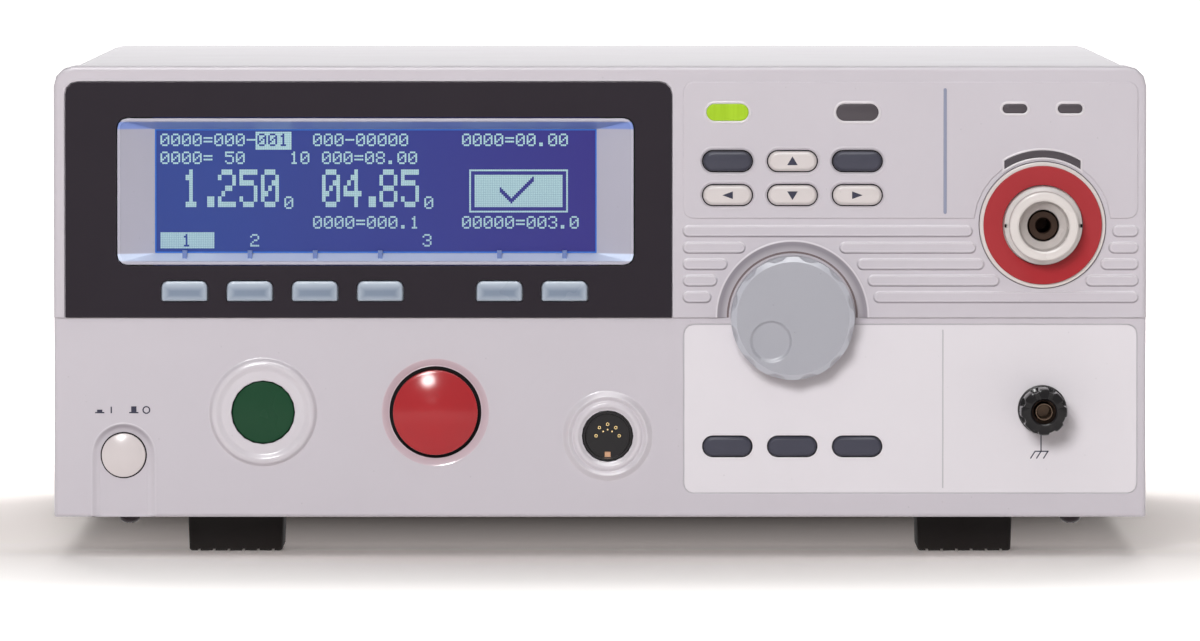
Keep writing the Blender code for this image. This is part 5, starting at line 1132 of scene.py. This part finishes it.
def buttons():
    """Start, stop and power buttons, and dark rings of painted shadow in the gaps round them."""
    domed_button("start_cap", "start_button", 0.00935, 0.0005, "button_green")
    domed_button("stop_cap", "stop_button", 0.0128, 0.0028, "button_red")
    domed_button("power_cap", "power_button", 0.0066, 0.0012, "cream_key", cream_cap())
    dish = (
        (0.01625, -HAIR), (0.0159, 0.0001), (0.0141, 0.0013), (0.0139, 0.0012), (0.0139, 0.002),
        (0.01625, 0.002), (0.01625, -HAIR),
    )
    profile = [(radius, LOWER_Y + sink) for radius, sink in dish]
    place("stop_dish", turned(flat(STOP), profile), "case_plastic", recess_plastic_painted_reflection())
    # Dark rings of painted shadow set into the gaps round the buttons.
    gap_shadow_rings = (
        ("stop_gap_shadow", STOP, 0.01285, 0.01395, 0.0013, 0.0023),
        ("start_gap_shadow", START, 0.0094, 0.00966, -0.0003, 0.0022),
        ("power_gap_shadow", POWER, 0.00664, 0.007, 0.00115, 0.0022),
    )
    for name, button, inner, outer, front, back in gap_shadow_rings:
        centre = flat(button)
        ring = rim(circle(centre, inner), circle(centre, outer), LOWER_Y + front, LOWER_Y + back)
        place(name, ring, "black_plastic", GAP_DARK)


def moulded_rings():
    """Smooth moulded rings round the start button and the remote socket."""
    start = (
        (0.0097, -0.00115), (0.0126, -0.00115, 0.0004), (0.0142, -0.00204, 0.0005),
        (0.0154, -0.00162, 0.0005), (0.0163, -0.00003, 0.0003), (0.0167, 0.00002),
    )
    remote = (
        (0.0078, -0.00052), (0.0081, -0.00058, 0.0001), (0.009, -0.00143, 0.0003),
        (0.0099, -0.00133, 0.0003), (0.0107, -0.0006, 0.0003), (0.0119, -0.00176, 0.0004),
        (0.0135, -0.00003, 0.0003), (0.0138, 0.00002),
    )
    for name, centre, points in (("start_ring", START, start), ("remote_ring", REMOTE, remote)):
        profile = [(radius, LOWER_Y + rise) for radius, rise in curve_profile(points)]
        inner, outer = profile[0][0], profile[-1][0]
        profile += [(outer, LOWER_Y + 0.0005), (inner, LOWER_Y + 0.0005), profile[0]]
        place(name, turned(flat(centre), profile), "case_plastic", ring_plastic())


def power_arch():
    """Soft fillet inside the arch that lets the power button be reached."""
    section = (
        (0.0003, 0.00002), (0.0001, -0.00008), (-0.0002, -0.00003), (-0.0006, 0.0003), (-0.0011, 0.0007),
        (-0.0017, 0.001), (-0.0024, 0.00116), (-0.0024, 0.0015), (0.0003, 0.0015),
    )
    foot = BEZEL_LOW.z + GAP
    rows = []
    for border, sink in section:
        reach = ARCH_HALF_WIDTH + border
        bend = arc(flat(POWER), reach, 0.0, math.pi, 48)
        outline = [(POWER.x + reach, foot)] + bend + [(POWER.x - reach, foot)]
        rows.append(laid(outline, LOWER_Y + sink))
    # The fillet's finish paints shade where it looks down and highlight where it looks up.
    place("power_arch", strip(rows), "case_plastic", rib_plastic_painted_shade("power_arch_painted_shade_finish"), angle=FINE_ANGLE)


def terminal_seam_shadow():
    """Thin dark ring of painted shadow along the seam round the flange of the high-voltage terminal."""
    centre = flat(TERMINAL)
    ring = rim(circle(centre, 0.01902), circle(centre, 0.0193), UPPER_Y - PRINT, UPPER_Y + HAIR)
    place("terminal_seam_shadow", ring, "case_plastic", seam_shadow_plastic())


def thread_profile(front):
    """Crests and roots of the stud's thread."""
    return [(0.0027 if step % 2 else 0.00252, front + 0.0012 + step * 0.00025) for step in range(68)]


def scalloped(radius, turn):
    """Radius of the post's cap at an angle, drawn in where a round groove runs along it."""
    sector = 2 * math.pi / CAP_GROOVES
    off = turn - (math.floor(turn / sector) + 0.5) * sector
    hub = CAP_RADIUS + CAP_GROOVE / 3
    across = hub * math.sin(off)
    if abs(across) >= CAP_GROOVE:
        return radius
    return min(radius, hub * math.cos(off) - math.sqrt(CAP_GROOVE ** 2 - across ** 2))


def return_post():
    """Insulating base, stud and scalloped cap of the binding post."""
    centre = flat(POST)
    low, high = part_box("return_base")
    base = curve_profile([
        (0.003, low.y), (0.0074, low.y, 0.0006), (0.0074, LOWER_Y - 0.0003, 0.0002),
        (0.0042, LOWER_Y - 0.0003), (0.0042, high.y), (0.003, high.y), (0.003, low.y),
    ])
    place("post_base", turned(centre, base), "black_plastic", replaces=("return_base",))
    low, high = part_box("return_stud")
    stud = [(0.002, low.y + 0.0003), (0.0023, low.y), (0.0025, low.y), (0.0027, low.y + 0.0003)]
    stud += thread_profile(low.y)
    stud += [
        (0.0027, high.y), (0.0, high.y), (0.0, low.y + 0.016), (0.002, low.y + 0.016),
        (0.002, low.y + 0.0003),
    ]
    place("post_stud", turned(centre, stud, 48), "bright_metal", post_metal(), replaces=("return_stud",))
    low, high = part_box("return_cap")
    front, back = low.y, high.y
    levels = [
        (0.0036, front + 0.0005), (0.0041, front), (0.0062, front), (0.00675, front + 0.0003),
        (CAP_RADIUS, front + 0.0009), (CAP_RADIUS, back - 0.0046), (CAP_RADIUS, back - 0.004),
        (CAP_RADIUS, back - 0.0036), (CAP_RADIUS, back - 0.0006), (0.0064, back), (0.0046, back),
        (0.0046, front + 0.007), (0.0036, front + 0.007),
    ]
    steps = 192
    rings = []
    for radius, y in levels:
        grooved = y < back - 0.0038 and radius > 0.006
        outline = []
        for index in range(steps):
            turn = 2 * math.pi * index / steps
            reach = scalloped(radius, turn) if grooved else radius
            outline.append((centre[0] + reach * math.cos(turn), centre[1] + reach * math.sin(turn)))
        rings.append(laid(outline, y))
    cap = joined(rings, loop=True)
    place("post_cap", cap, "black_plastic", glossy_black(), "return_cap", ("return_cap",))


# Marks, rims and small fittings

def printed(outline, face):
    """Thin print of an outline on a face."""
    return plate(outline, face - PRINT, face + HAIR)


def key_marks():
    """Dark triangles on the four direction keys."""
    size_x, size_z = 0.0016, 0.00145
    marks = {
        "up_key": ((-1.0, -0.8), (1.0, -0.8), (0.0, 1.0)),
        "down_key": ((-1.0, 0.8), (0.0, -1.0), (1.0, 0.8)),
        "left_key": ((-1.0, 0.0), (1.0, -0.8), (1.0, 0.8)),
        "right_key": ((1.0, 0.0), (-1.0, 0.8), (-1.0, -0.8)),
    }
    for node, corners in marks.items():
        centre = middle(node)
        outline = [(centre.x + x * size_x, centre.z + z * size_z) for x, z in corners]
        place(f"{node}_mark", printed(outline, face_of(node)), "dark_key", INK, node)


def panel_lines():
    """Upright bar between the keys and the terminal, and the line on the lower overlay."""
    bar = stadium_upright(OVERLAY_LOW.x + 0.0787, BEZEL_HIGH.z - 0.0446, BEZEL_HIGH.z - 0.0066, 0.001)
    place("separator_bar", plate(bar, PANEL_Y - 0.0001, PANEL_Y + 0.0001), "knob_grey", separator_ink())
    line_x = OVERLAY_LOW.x + 0.0781
    outline = rectangle(line_x - 0.0002, line_x + 0.0002, OVERLAY_LOW.z + 0.0014, OVERLAY_HIGH.z - 0.0014)
    place("overlay_line", printed(outline, LOWER_Y), "overlay_white", groove_ink())
    sides = (OVERLAY_LOW.x, OVERLAY_HIGH.x, OVERLAY_LOW.z, OVERLAY_HIGH.z, (0.0027,) * 4)
    inner, outer = rounded_box(*sides, 0.00001), rounded_box(*sides, 0.00032)
    edge = rim(inner, outer, LOWER_Y + 0.0001, LOWER_Y + 0.0004)
    place("overlay_edge", edge, "case_plastic", groove_ink())


def stadium_upright(x, bottom, top, width):
    """Upright bar with full round ends."""
    half = width / 2
    upper = arc((x, top - half), half, 0, math.pi, 8)
    lower = arc((x, bottom + half), half, math.pi, 2 * math.pi, 8)
    return upper + lower


def stroke(start, end, width):
    """Thin straight bar between two points."""
    start, end = Vector(start), Vector(end)
    along = (end - start).normalized()
    side = Vector((-along.y, along.x)) * width / 2
    return [tuple(start - side), tuple(end - side), tuple(end + side), tuple(start + side)]


def earth_mark():
    """Frame earth sign under the return post."""
    width, stem_length = 0.00035, 0.0055
    x, top = POST.x - 0.0003, POST.z - 0.0072
    base = top - stem_length
    lines = [((x, top), (x, base)), ((x - 0.0019, base), (x + 0.0023, base))]
    lines += [((x + start, base), (x + start - 0.0014, base - 0.0022)) for start in (-0.0018, 0.0, 0.0021)]
    bars = [printed(stroke(start, end, width), LOWER_Y) for start, end in lines]
    place("earth_mark", merged(bars), "dark_key", INK)


def power_marks():
    """In and out marks over the power button."""
    z = POWER.z + 0.0137
    left, right = POWER.x - 0.0072, POWER.x + 0.0031
    outlines = []
    for x, rise in ((left, 0.0007), (right, 0.0017)):
        outlines.append(rectangle(x - 0.0014, x + 0.0014, z - 0.001, z - 0.0006))
        outlines.append(rectangle(x - 0.0008, x + 0.0008, z - 0.0006, z - 0.0006 + rise))
    outlines.append(rectangle(left + 0.0033, left + 0.0037, z - 0.001, z + 0.001))
    forms = [printed(outline, LOWER_Y) for outline in outlines]
    centre = (right + 0.0038, z)
    inner, outer = circle(centre, 0.0008, 32), circle(centre, 0.0012, 32)
    forms.append(rim(inner, outer, LOWER_Y - PRINT, LOWER_Y + HAIR))
    place("power_marks", merged(forms), "dark_key", INK)


def remote_contacts():
    """Gold sleeves in the contact holes and the copper key at the foot of the round socket."""
    x, z = flat(REMOTE)
    face = LOWER_Y + 0.0014

    def around(radius, turn):
        return x + radius * math.cos(turn), z + radius * math.sin(turn)

    sleeve = [
        (0.00028, face + 0.0006), (0.0005, face + 0.0006), (0.0005, face + 0.0045), (0.00028, face + 0.0045),
        (0.00028, face + 0.0006),
    ]
    stub = [(0.0, face - 0.0001), (0.00026, face - 0.0001), (0.0003, face + 0.0002), (0.0, face + 0.0002)]
    forms = [turned(around(0.0035, math.pi * index / 4), sleeve, 20) for index in range(5)]
    forms += [turned(around(0.0019, math.pi * index / 4), stub, 20) for index in (1, 2, 3)]
    place("remote_sleeves", merged(forms), "brass", GOLD)
    low = z - 0.0064
    key = rectangle(x - 0.0009, x + 0.0009, low - 0.0001, low + 0.0016)
    place("remote_key", plate(key, face + 0.0005, face + 0.0038), "brass", copper_key())


def d_form(centre, width, inset):
    """Outline of a D plug shell, drawn in by an inset."""
    half, rise = width / 2 - inset, PORT_SHELL_HEIGHT / 2 - inset
    x, z = centre
    foot = half - PORT_SLANT
    return [(x - foot, z - rise), (x + foot, z - rise), (x + half, z + rise), (x - half, z + rise)]


def pin_places(centre, count):
    """Places of two staggered rows of pins, the longer row on top."""
    spots = []
    for row, number in ((1, count), (-1, count - 1)):
        for index in range(number):
            spots.append((centre[0] + (index - (number - 1) / 2) * PIN_PITCH, centre[1] + row * PIN_ROW / 2))
    return spots


def port_shell(centre, width):
    """Steel shell, flange and two jack screws of a plug socket."""
    x, z = centre
    reach = width / 2 + PORT_FLANGE_REACH
    shell = rim(d_form(centre, width, PORT_SHELL_WALL + SKIN), d_form(centre, width, -SKIN),
                REAR_Y + PORT_SHELL_PROUD + SKIN, REAR_Y + SKIN)
    sides = (x - reach, x + reach, z - PORT_FLANGE_RISE, z + PORT_FLANGE_RISE)
    flange = rounded_box(*sides, (0.0012,) * 4, steps=3)
    forms = [shell, framed(flange, d_form(centre, width, -0.0004), REAR_Y + SKIN, REAR_Y + 0.0007)]
    jack = (
        (0.0014, 0.0052), (0.0022, 0.0052), (0.0026, 0.0049), (0.0026, 0.0005), (0.0, 0.0005), (0.0, 0.003),
        (0.0014, 0.003), (0.0014, 0.0052),
    )
    for side in (-1, 1):
        spot = (x + side * (width / 2 + 0.004), z)
        forms.append(turned(spot, [(radius, REAR_Y + rise) for radius, rise in jack], 6))
    return forms


def rear_ports():
    """Steel shells, black inserts and gold pins of the plug sockets on the rear."""
    plug_pin = ((0.0, -0.0002), (0.0005, -0.0002), (0.0005, 0.0032), (0.0003, 0.0038), (0.0, 0.004))
    socket_pin = (
        (0.0, -0.0002), (0.00065, -0.0002), (0.00065, 0.00004), (0.0004, 0.00004), (0.0004, -0.0001),
        (0.0, -0.0001),
    )
    shells, inserts, pins = [], [], []
    for x, width, count, depth, pin in (
        (SERIAL_X, SERIAL_WIDTH, 5, 0.0008, plug_pin),
        (SIGNAL_X, SIGNAL_WIDTH, 13, PORT_SHELL_PROUD - 0.0005, socket_pin),
    ):
        centre = (x, PORT_Z)
        face = REAR_Y + depth
        shells += port_shell(centre, width)
        inserts.append(plate(d_form(centre, width, PORT_SHELL_WALL + SKIN), REAR_Y + SKIN, face))
        profile = [(radius, face + rise) for radius, rise in pin]
        pins += [turned(spot, profile, 16) for spot in pin_places(centre, count)]
    place("port_shells", merged(shells), "bright_metal")
    place("port_inserts", merged(inserts), "black_plastic")
    place("port_pins", merged(pins), "brass", GOLD)


def framed(outer, hole, front, back):
    """Plate with an opening, cut out of the solid plate."""
    return carve(plate(outer, front, back), [plate(hole, front - 0.001, back + 0.001)])


def foot_soles():
    """Grooves in the soles of the four feet."""
    for node in ("foot_front_left", "foot_front_right", "foot_rear_left", "foot_rear_right"):
        low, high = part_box(node)
        grooves = []
        for index in range(SOLE_GROOVES):
            x = (low.x + high.x) / 2 + (index - (SOLE_GROOVES - 1) / 2) * SOLE_PITCH
            groove = rectangle(x - SOLE_GROOVE / 2, x + SOLE_GROOVE / 2, -SOLE_GROOVE, SOLE_DEPTH)
            grooves.append(plate(groove, low.y - 0.001, high.y + 0.001))
        tread = carve(NODES[node].data.copy(), grooves)
        place(f"{node}_tread", tread, "black_rubber", replaces=(node,))


def collar_notch_shadows():
    """Two small dark blocks of painted shadow where notches sit at the sides of the terminal's collar."""
    front = face_of("hv_terminal_body")
    forms = []
    for side in (-1, 1):
        x = TERMINAL.x + side * 0.01145
        outline = rectangle(x - 0.00025, x + 0.00025, TERMINAL.z - 0.0005, TERMINAL.z + 0.0005)
        forms.append(plate(outline, front + 0.0066, front + 0.0082))
    place("collar_notch_shadows", merged(forms), "black_plastic", GAP_DARK)


def screw_head(centre, radius, height, direction):
    """Pan head screw with a cross recess; direction is the way the head looks."""
    slot_depth = 0.0006
    crown = []
    for step in range(1, 9):
        turn = math.pi / 2 * step / 8
        crown.append((radius * math.sin(turn), height * math.cos(turn) ** 0.8))
    rings = [[(0.0, 0.0, height)]]
    for reach, rise in crown + [(radius, 0.0), (radius * 0.98, -0.0002)]:
        rings.append([(x, y, rise) for x, y in circle((0.0, 0.0), reach, 48)])
    bars = []
    for angle in (math.pi / 4, 3 * math.pi / 4):
        end = Vector((math.cos(angle), math.sin(angle))) * radius * 0.55
        corners = stroke(-end, end, radius * 0.24)
        levels = (height - slot_depth, height + slot_depth)
        bars.append(joined([[(x, y, z) for x, y in corners] for z in levels]))
    head = carve(joined(rings), bars)
    turn = Vector(direction).to_track_quat("Z", "Y").to_matrix().to_4x4()
    head.transform(Matrix.Translation(centre) @ turn)
    return head


def carve(mesh, cutters):
    """Mesh less its cutters, worked out at once."""
    collection = bpy.context.scene.collection.objects
    body = bpy.data.objects.new("carved", mesh)
    collection.link(body)
    tools = []
    for cutter in cutters:
        tool = bpy.data.objects.new("cutter", cutter)
        collection.link(tool)
        modifier = body.modifiers.new("cut", "BOOLEAN")
        modifier.operation = "DIFFERENCE"
        modifier.solver = "EXACT"
        modifier.object = tool
        tools.append(tool)
    depsgraph = bpy.context.evaluated_depsgraph_get()
    result = bpy.data.meshes.new_from_object(body.evaluated_get(depsgraph))
    for item in [body] + tools:
        bpy.data.objects.remove(item, do_unlink=True)
    return result


def screws():
    """Screws under the bezel, on the fan guard, the inlet, the rear panel and the cover's sides."""
    rearward = (0, 1, 0)
    under = [(x, UPPER_Y + 0.012, BEZEL_LOW.z) for x in (-0.1425, 0.1425)]
    heads = [screw_head(spot, 0.0032, 0.0024, (0, 0, -1)) for spot in under]
    place("bezel_screws", merged(heads), "bright_metal", dark_steel())
    low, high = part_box("fan_guard")
    centre = (low + high) / 2
    reach = (high.x - low.x) / 2 - 0.00425
    spots = [(centre.x + side * reach, centre.z + rise * reach) for side in (-1, 1) for rise in (-1, 1)]
    heads = [screw_head((x, high.y, z), 0.0031, 0.0018, rearward) for x, z in spots]
    place("fan_screws", merged(heads), "bright_metal")
    low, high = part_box("mains_inlet")
    centre = (low + high) / 2
    spots = [(centre.x + side * 0.02, high.y, centre.z) for side in (-1, 1)]
    heads = [screw_head(spot, 0.0027, 0.0012, rearward) for spot in spots]
    place("inlet_screws", merged(heads), "bright_metal")
    low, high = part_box("rear_panel")
    border = 0.008
    spots = [
        (low.x + border, low.z + border), (low.x + border, high.z - border), (0.019, low.z + border),
        (0.0, high.z - border), (high.x - border, low.z + border), (high.x - border, high.z - border),
    ]
    heads = [screw_head((x, REAR_Y, z), 0.0029, 0.0017, rearward) for x, z in spots]
    place("rear_panel_screws", merged(heads), "bright_metal")
    low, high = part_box("top_cover")
    heads = []
    for side, x in ((-1, low.x), (1, high.x)):
        for y in (low.y + 0.06, high.y - 0.035):
            heads.append(screw_head((x, y, low.z + 0.012), 0.0029, 0.0009, (side, 0, 0)))
    place("cover_screws", merged(heads), "bright_metal")


# Screen contents: plain numbers, blocks and a tick

GLYPHS = {
    "0": (" ### ", "#   #", "#  ##", "# # #", "##  #", "#   #", " ### "),
    "1": ("  #  ", " ##  ", "  #  ", "  #  ", "  #  ", "  #  ", " ### "),
    "2": (" ### ", "#   #", "    #", "  ## ", " #   ", "#    ", "#####"),
    "3": (" ### ", "#   #", "    #", "  ## ", "    #", "#   #", " ### "),
    "4": ("   # ", "  ## ", " # # ", "#  # ", "#####", "   # ", "   # "),
    "5": ("#####", "#    ", "#### ", "    #", "    #", "#   #", " ### "),
    "6": ("  ## ", " #   ", "#    ", "#### ", "#   #", "#   #", " ### "),
    "8": (" ### ", "#   #", "#   #", " ### ", "#   #", "#   #", " ### "),
    ".": ("     ", "     ", "     ", "     ", "     ", " ##  ", " ##  "),
    "-": ("     ", "     ", "     ", "#####", "     ", "     ", "     "),
    "=": ("     ", "     ", "#####", "     ", "#####", "     ", "     "),
    " ": ("     ",) * 7,
}
CELL = 6
DOT_PITCH = 0.000543
DOT_COLUMNS = 240
DOT_ROWS = 64
SMALL_NUMBERS = (
    ("0000=000-", 0, 0), ("001", 54, 0), ("000-00000", 85, 0), ("0000=00.00", 168, 0),
    ("0000= 50", 0, 10), ("10", 72, 10), ("000=08.00", 90, 10), ("0", 69, 35), ("0", 147, 35),
    ("0000=000.1", 85, 46), ("00000=003.0", 168, 46), ("1", 12, 56), ("2", 50, 56), ("3", 146, 56),
)


def write_numbers(dots, text, column, row, across=1, down=1):
    """Light the dots of a row of numbers, each dot of a glyph drawn out across and down."""
    for letter in text:
        for y, line in enumerate(GLYPHS[letter]):
            for x, mark in enumerate(line):
                if mark == "#":
                    left, top = column + x * across, row + y * down
                    dots.update((left + dx, top + dy) for dx in range(across) for dy in range(down))
        narrow = letter == "." and across > 1
        column += (CELL - 2 if narrow else CELL) * across


def invert_block(dots, left, right, top, bottom):
    """Light the dark dots of a block, and put out those that were lit in it."""
    dots ^= {(x, y) for x in range(left, right) for y in range(top, bottom)}


def tick_box(dots):
    """Filled box with a thin frame round it, and a tick left dark in it."""
    strokes = [(189 + step, 30 + step) for step in range(7)]
    strokes += [(195 + step, 36 - step) for step in range(13)]
    tick = {(x, y + thick) for x, y in strokes for thick in range(3)}
    dots |= {(x, y) for x in range(175, 224) for y in range(23, 41)} - tick
    dots |= {(x, y) for x in range(172, 227) for y in (20, 43)}
    dots |= {(x, y) for x in (172, 226) for y in range(20, 44)}


def screen_dots():
    """Lit dots of the screen, in the layout of a test instrument."""
    dots = set()
    for text, column, row in SMALL_NUMBERS:
        write_numbers(dots, text, column, row)
    for text, column in (("1.250", 12), ("04.85", 90)):
        write_numbers(dots, text, column, 20, 2, 3)
    invert_block(dots, 53, 73, -1, 9)
    invert_block(dots, 0, 30, 55, 64)
    tick_box(dots)
    left = (FRAME_LOW.x + FRAME_HIGH.x - DOT_COLUMNS * DOT_PITCH) / 2
    top = (FRAME_LOW.z + FRAME_HIGH.z + DOT_ROWS * DOT_PITCH) / 2
    side = DOT_PITCH * 0.46
    form = bmesh.new()
    for column, row in sorted(dots):
        x = left + (column + 0.5) * DOT_PITCH
        z = top - (row + 0.5) * DOT_PITCH
        square = rectangle(x - side, x + side, z - side, z + side)
        form.faces.new([form.verts.new(point) for point in laid(square, MODULE_LOW.y - PRINT)])
    place("screen_dots", mesh_of(form), "screen_blue", dot_light())


def screen_trim():
    """Blue ticks over the soft keys, and the bright edge of the lit glass."""
    sill = FRAME_LOW.z + SCREEN_SILL
    back = FRAME_HIGH.y
    ticks = []
    for name in SOFT_KEYS:
        x = middle(name).x
        outline = rectangle(x - 0.0007, x + 0.0007, FRAME_LOW.z + 0.0012, sill + 0.00085)
        ticks.append(plate(outline, back - 0.00455, back - 0.0004))
    place("screen_ticks", merged(ticks), "frame_grey", tick_blue())
    left, right = FRAME_LOW.x + SCREEN_SIDE, FRAME_HIGH.x - SCREEN_SIDE
    top = FRAME_HIGH.z - SCREEN_SILL
    edge = rim(rectangle(left + 0.0004, right - 0.0004, sill + 0.0004, top - 0.0004),
               rectangle(left - 0.0002, right + 0.0002, sill - 0.0002, top + 0.0002),
               MODULE_LOW.y - PRINT, MODULE_LOW.y + HAIR)
    place("screen_edge", edge, "screen_blue", edge_light())


# Room

WORLD_LEVEL = 0.3
FLOOR_GLOW = (0.03, 0.026, 0.024, 1.0)
FLOOR_EDGE_GLOW = (0.27, 0.243, 0.234, 1.0)
FLOOR_SHADOW_REACH = 0.22
FLOOR_WHITE_REACH = 0.64
GLOW_BACK = 0.04
GLOW_PEAK = -0.143
GLOW_FRONT = -0.182
GLOW_SIDES = (0.2, 0.15)
LENS_LENGTH = 416.4
EYE_DISTANCE = 4.19
EYE_HEIGHT = 0.223
AIM_HEIGHT = 0.0712


def mirrored_rays(tree):
    """Rays that are mirrored or let through by the object, before any soft bounce."""
    path = tree.nodes.new("ShaderNodeLightPath")
    mirrored = math_node(tree, "MAXIMUM", path.outputs["Is Glossy Ray"], path.outputs["Is Transmission Ray"])
    direct = math_node(tree, "LESS_THAN", path.outputs["Diffuse Depth"], 0.5)
    return math_node(tree, "MULTIPLY", mirrored, direct)


def seen_rays(tree):
    """Rays that show the background itself: of the camera, and those mirrored or let through."""
    path = tree.nodes.new("ShaderNodeLightPath")
    return math_node(tree, "MAXIMUM", path.outputs["Is Camera Ray"], mirrored_rays(tree))


def floor():
    """White floor that keeps the object's shadow near it, with a painted glow that lifts that shadow under
    the object's front, and is plain white farther off.
    """
    form = bmesh.new()
    bmesh.ops.create_grid(form, x_segments=2, y_segments=2, size=30.0)
    mesh = mesh_of(form)
    ground = bpy.data.objects.new("floor", mesh)
    bpy.context.scene.collection.objects.link(ground)
    material = bpy.data.materials.new("floor_white")
    material.use_nodes = True
    tree = material.node_tree
    shader = tree.nodes["Principled BSDF"]
    shader.inputs["Base Color"].default_value = (0.95, 0.9, 0.87, 1.0)
    shader.inputs["Roughness"].default_value = 1.0
    shader.inputs["Specular IOR Level"].default_value = 0.0
    distance = tree.nodes.new("ShaderNodeVectorMath")
    distance.operation = "LENGTH"
    tree.links.new(object_place(tree), distance.inputs[0])
    far_off = spread(tree, distance.outputs["Value"], FLOOR_SHADOW_REACH, FLOOR_WHITE_REACH, 0.0, 1.0)
    glow = tree.nodes.new("ShaderNodeEmission")
    white_share = math_node(tree, "MAXIMUM", far_off, mirrored_rays(tree))
    # Painted light under the front of the object: FLOOR_EDGE_GLOW lifts the shadow there, peaking at
    # GLOW_PEAK and fading towards the sides.
    x, y, _ = split_axes(tree, object_place(tree))
    aside = math_node(tree, "ABSOLUTE", x)
    under = math_node(tree, "MULTIPLY", spread(tree, y, GLOW_BACK, GLOW_PEAK, 0.0, 1.0),
                      spread(tree, y, GLOW_FRONT, GLOW_PEAK, 0.0, 1.0))
    under = math_node(tree, "MULTIPLY", under, spread(tree, aside, *GLOW_SIDES, 0.0, 1.0))
    near = mix_colour(tree, under, FLOOR_GLOW, FLOOR_EDGE_GLOW)
    tree.links.new(mix_colour(tree, white_share, near, (1.0, 1.0, 1.0, 1.0)), glow.inputs["Color"])
    tree.links.new(seen_rays(tree), glow.inputs["Strength"])
    both = tree.nodes.new("ShaderNodeAddShader")
    tree.links.new(shader.outputs[0], both.inputs[0])
    tree.links.new(glow.outputs[0], both.inputs[1])
    tree.links.new(both.outputs[0], tree.nodes["Material Output"].inputs["Surface"])
    mesh.materials.append(material)


def world_light():
    """Even white surroundings, dimmer as light than as background."""
    world = bpy.data.worlds.new("studio")
    bpy.context.scene.world = world
    world.use_nodes = True
    tree = world.node_tree
    tree.nodes.clear()
    dim = tree.nodes.new("ShaderNodeBackground")
    dim.inputs["Strength"].default_value = WORLD_LEVEL
    bright = tree.nodes.new("ShaderNodeBackground")
    bright.inputs["Strength"].default_value = 1.0
    for node in (dim, bright):
        node.inputs["Color"].default_value = (1.0, 1.0, 1.0, 1.0)
    choose = tree.nodes.new("ShaderNodeMixShader")
    tree.links.new(seen_rays(tree), choose.inputs[0])
    tree.links.new(dim.outputs[0], choose.inputs[1])
    tree.links.new(bright.outputs[0], choose.inputs[2])
    output = tree.nodes.new("ShaderNodeOutputWorld")
    tree.links.new(choose.outputs[0], output.inputs["Surface"])


def lamp(name, spot, width, height, power, diffuse=True, glossy=True):
    """Oval studio light that looks at the object."""
    data = bpy.data.lights.new(name, "AREA")
    data.shape = "ELLIPSE"
    data.size = width
    data.size_y = height
    data.energy = power
    light = bpy.data.objects.new(name, data)
    bpy.context.scene.collection.objects.link(light)
    light.location = spot
    light.rotation_mode = "QUATERNION"
    aim = Vector((0.0, 0.0, 0.08)) - Vector(spot)
    light.rotation_quaternion = aim.to_track_quat("-Z", "Y")
    light.visible_diffuse = diffuse
    light.visible_glossy = glossy


def lights():
    """Wide light behind, soft light in front, and two that show only as highlights."""
    world_light()
    lamp("rear_light", (0.0, 1.4, 1.15), 1.2, 1.1, 30.0, glossy=False)
    lamp("front_light", (-0.25, UPPER_Y - 2.2, 0.62), 0.6, 0.45, 32.5, glossy=False)
    lamp("highlight", (-0.42, UPPER_Y - 1.85, 1.5), 0.6, 0.6, 44.0, diffuse=False)
    lamp("overhead_card", (0.0, UPPER_Y - 0.5, 1.6), 1.8, 1.0, 27.0, diffuse=False)


def camera():
    """Camera at the photograph's angle."""
    data = bpy.data.cameras.new("camera")
    data.lens = LENS_LENGTH
    data.sensor_width = 36.0
    data.clip_start = 0.1
    data.clip_end = 60.0
    eye = bpy.data.objects.new("camera", data)
    bpy.context.scene.collection.objects.link(eye)
    eye.location = (0.0, UPPER_Y - EYE_DISTANCE, EYE_HEIGHT)
    eye.rotation_mode = "QUATERNION"
    aim = Vector((0.0, UPPER_Y, AIM_HEIGHT))
    eye.rotation_quaternion = (aim - eye.location).to_track_quat("-Z", "Y")
    bpy.context.scene.camera = eye


dress_solids()
keys()
lamps()
knob()
knob_arch()
rib_edges()
high_voltage_terminal()
terminal_seam_shadow()
power_arch()
buttons()
moulded_rings()
return_post()
key_marks()
panel_lines()
earth_mark()
power_marks()
remote_contacts()
collar_notch_shadows()
rear_ports()
foot_soles()
screws()
screen_dots()
screen_trim()
floor()
lights()
camera()
bpy.context.scene.view_settings.view_transform = "Standard"
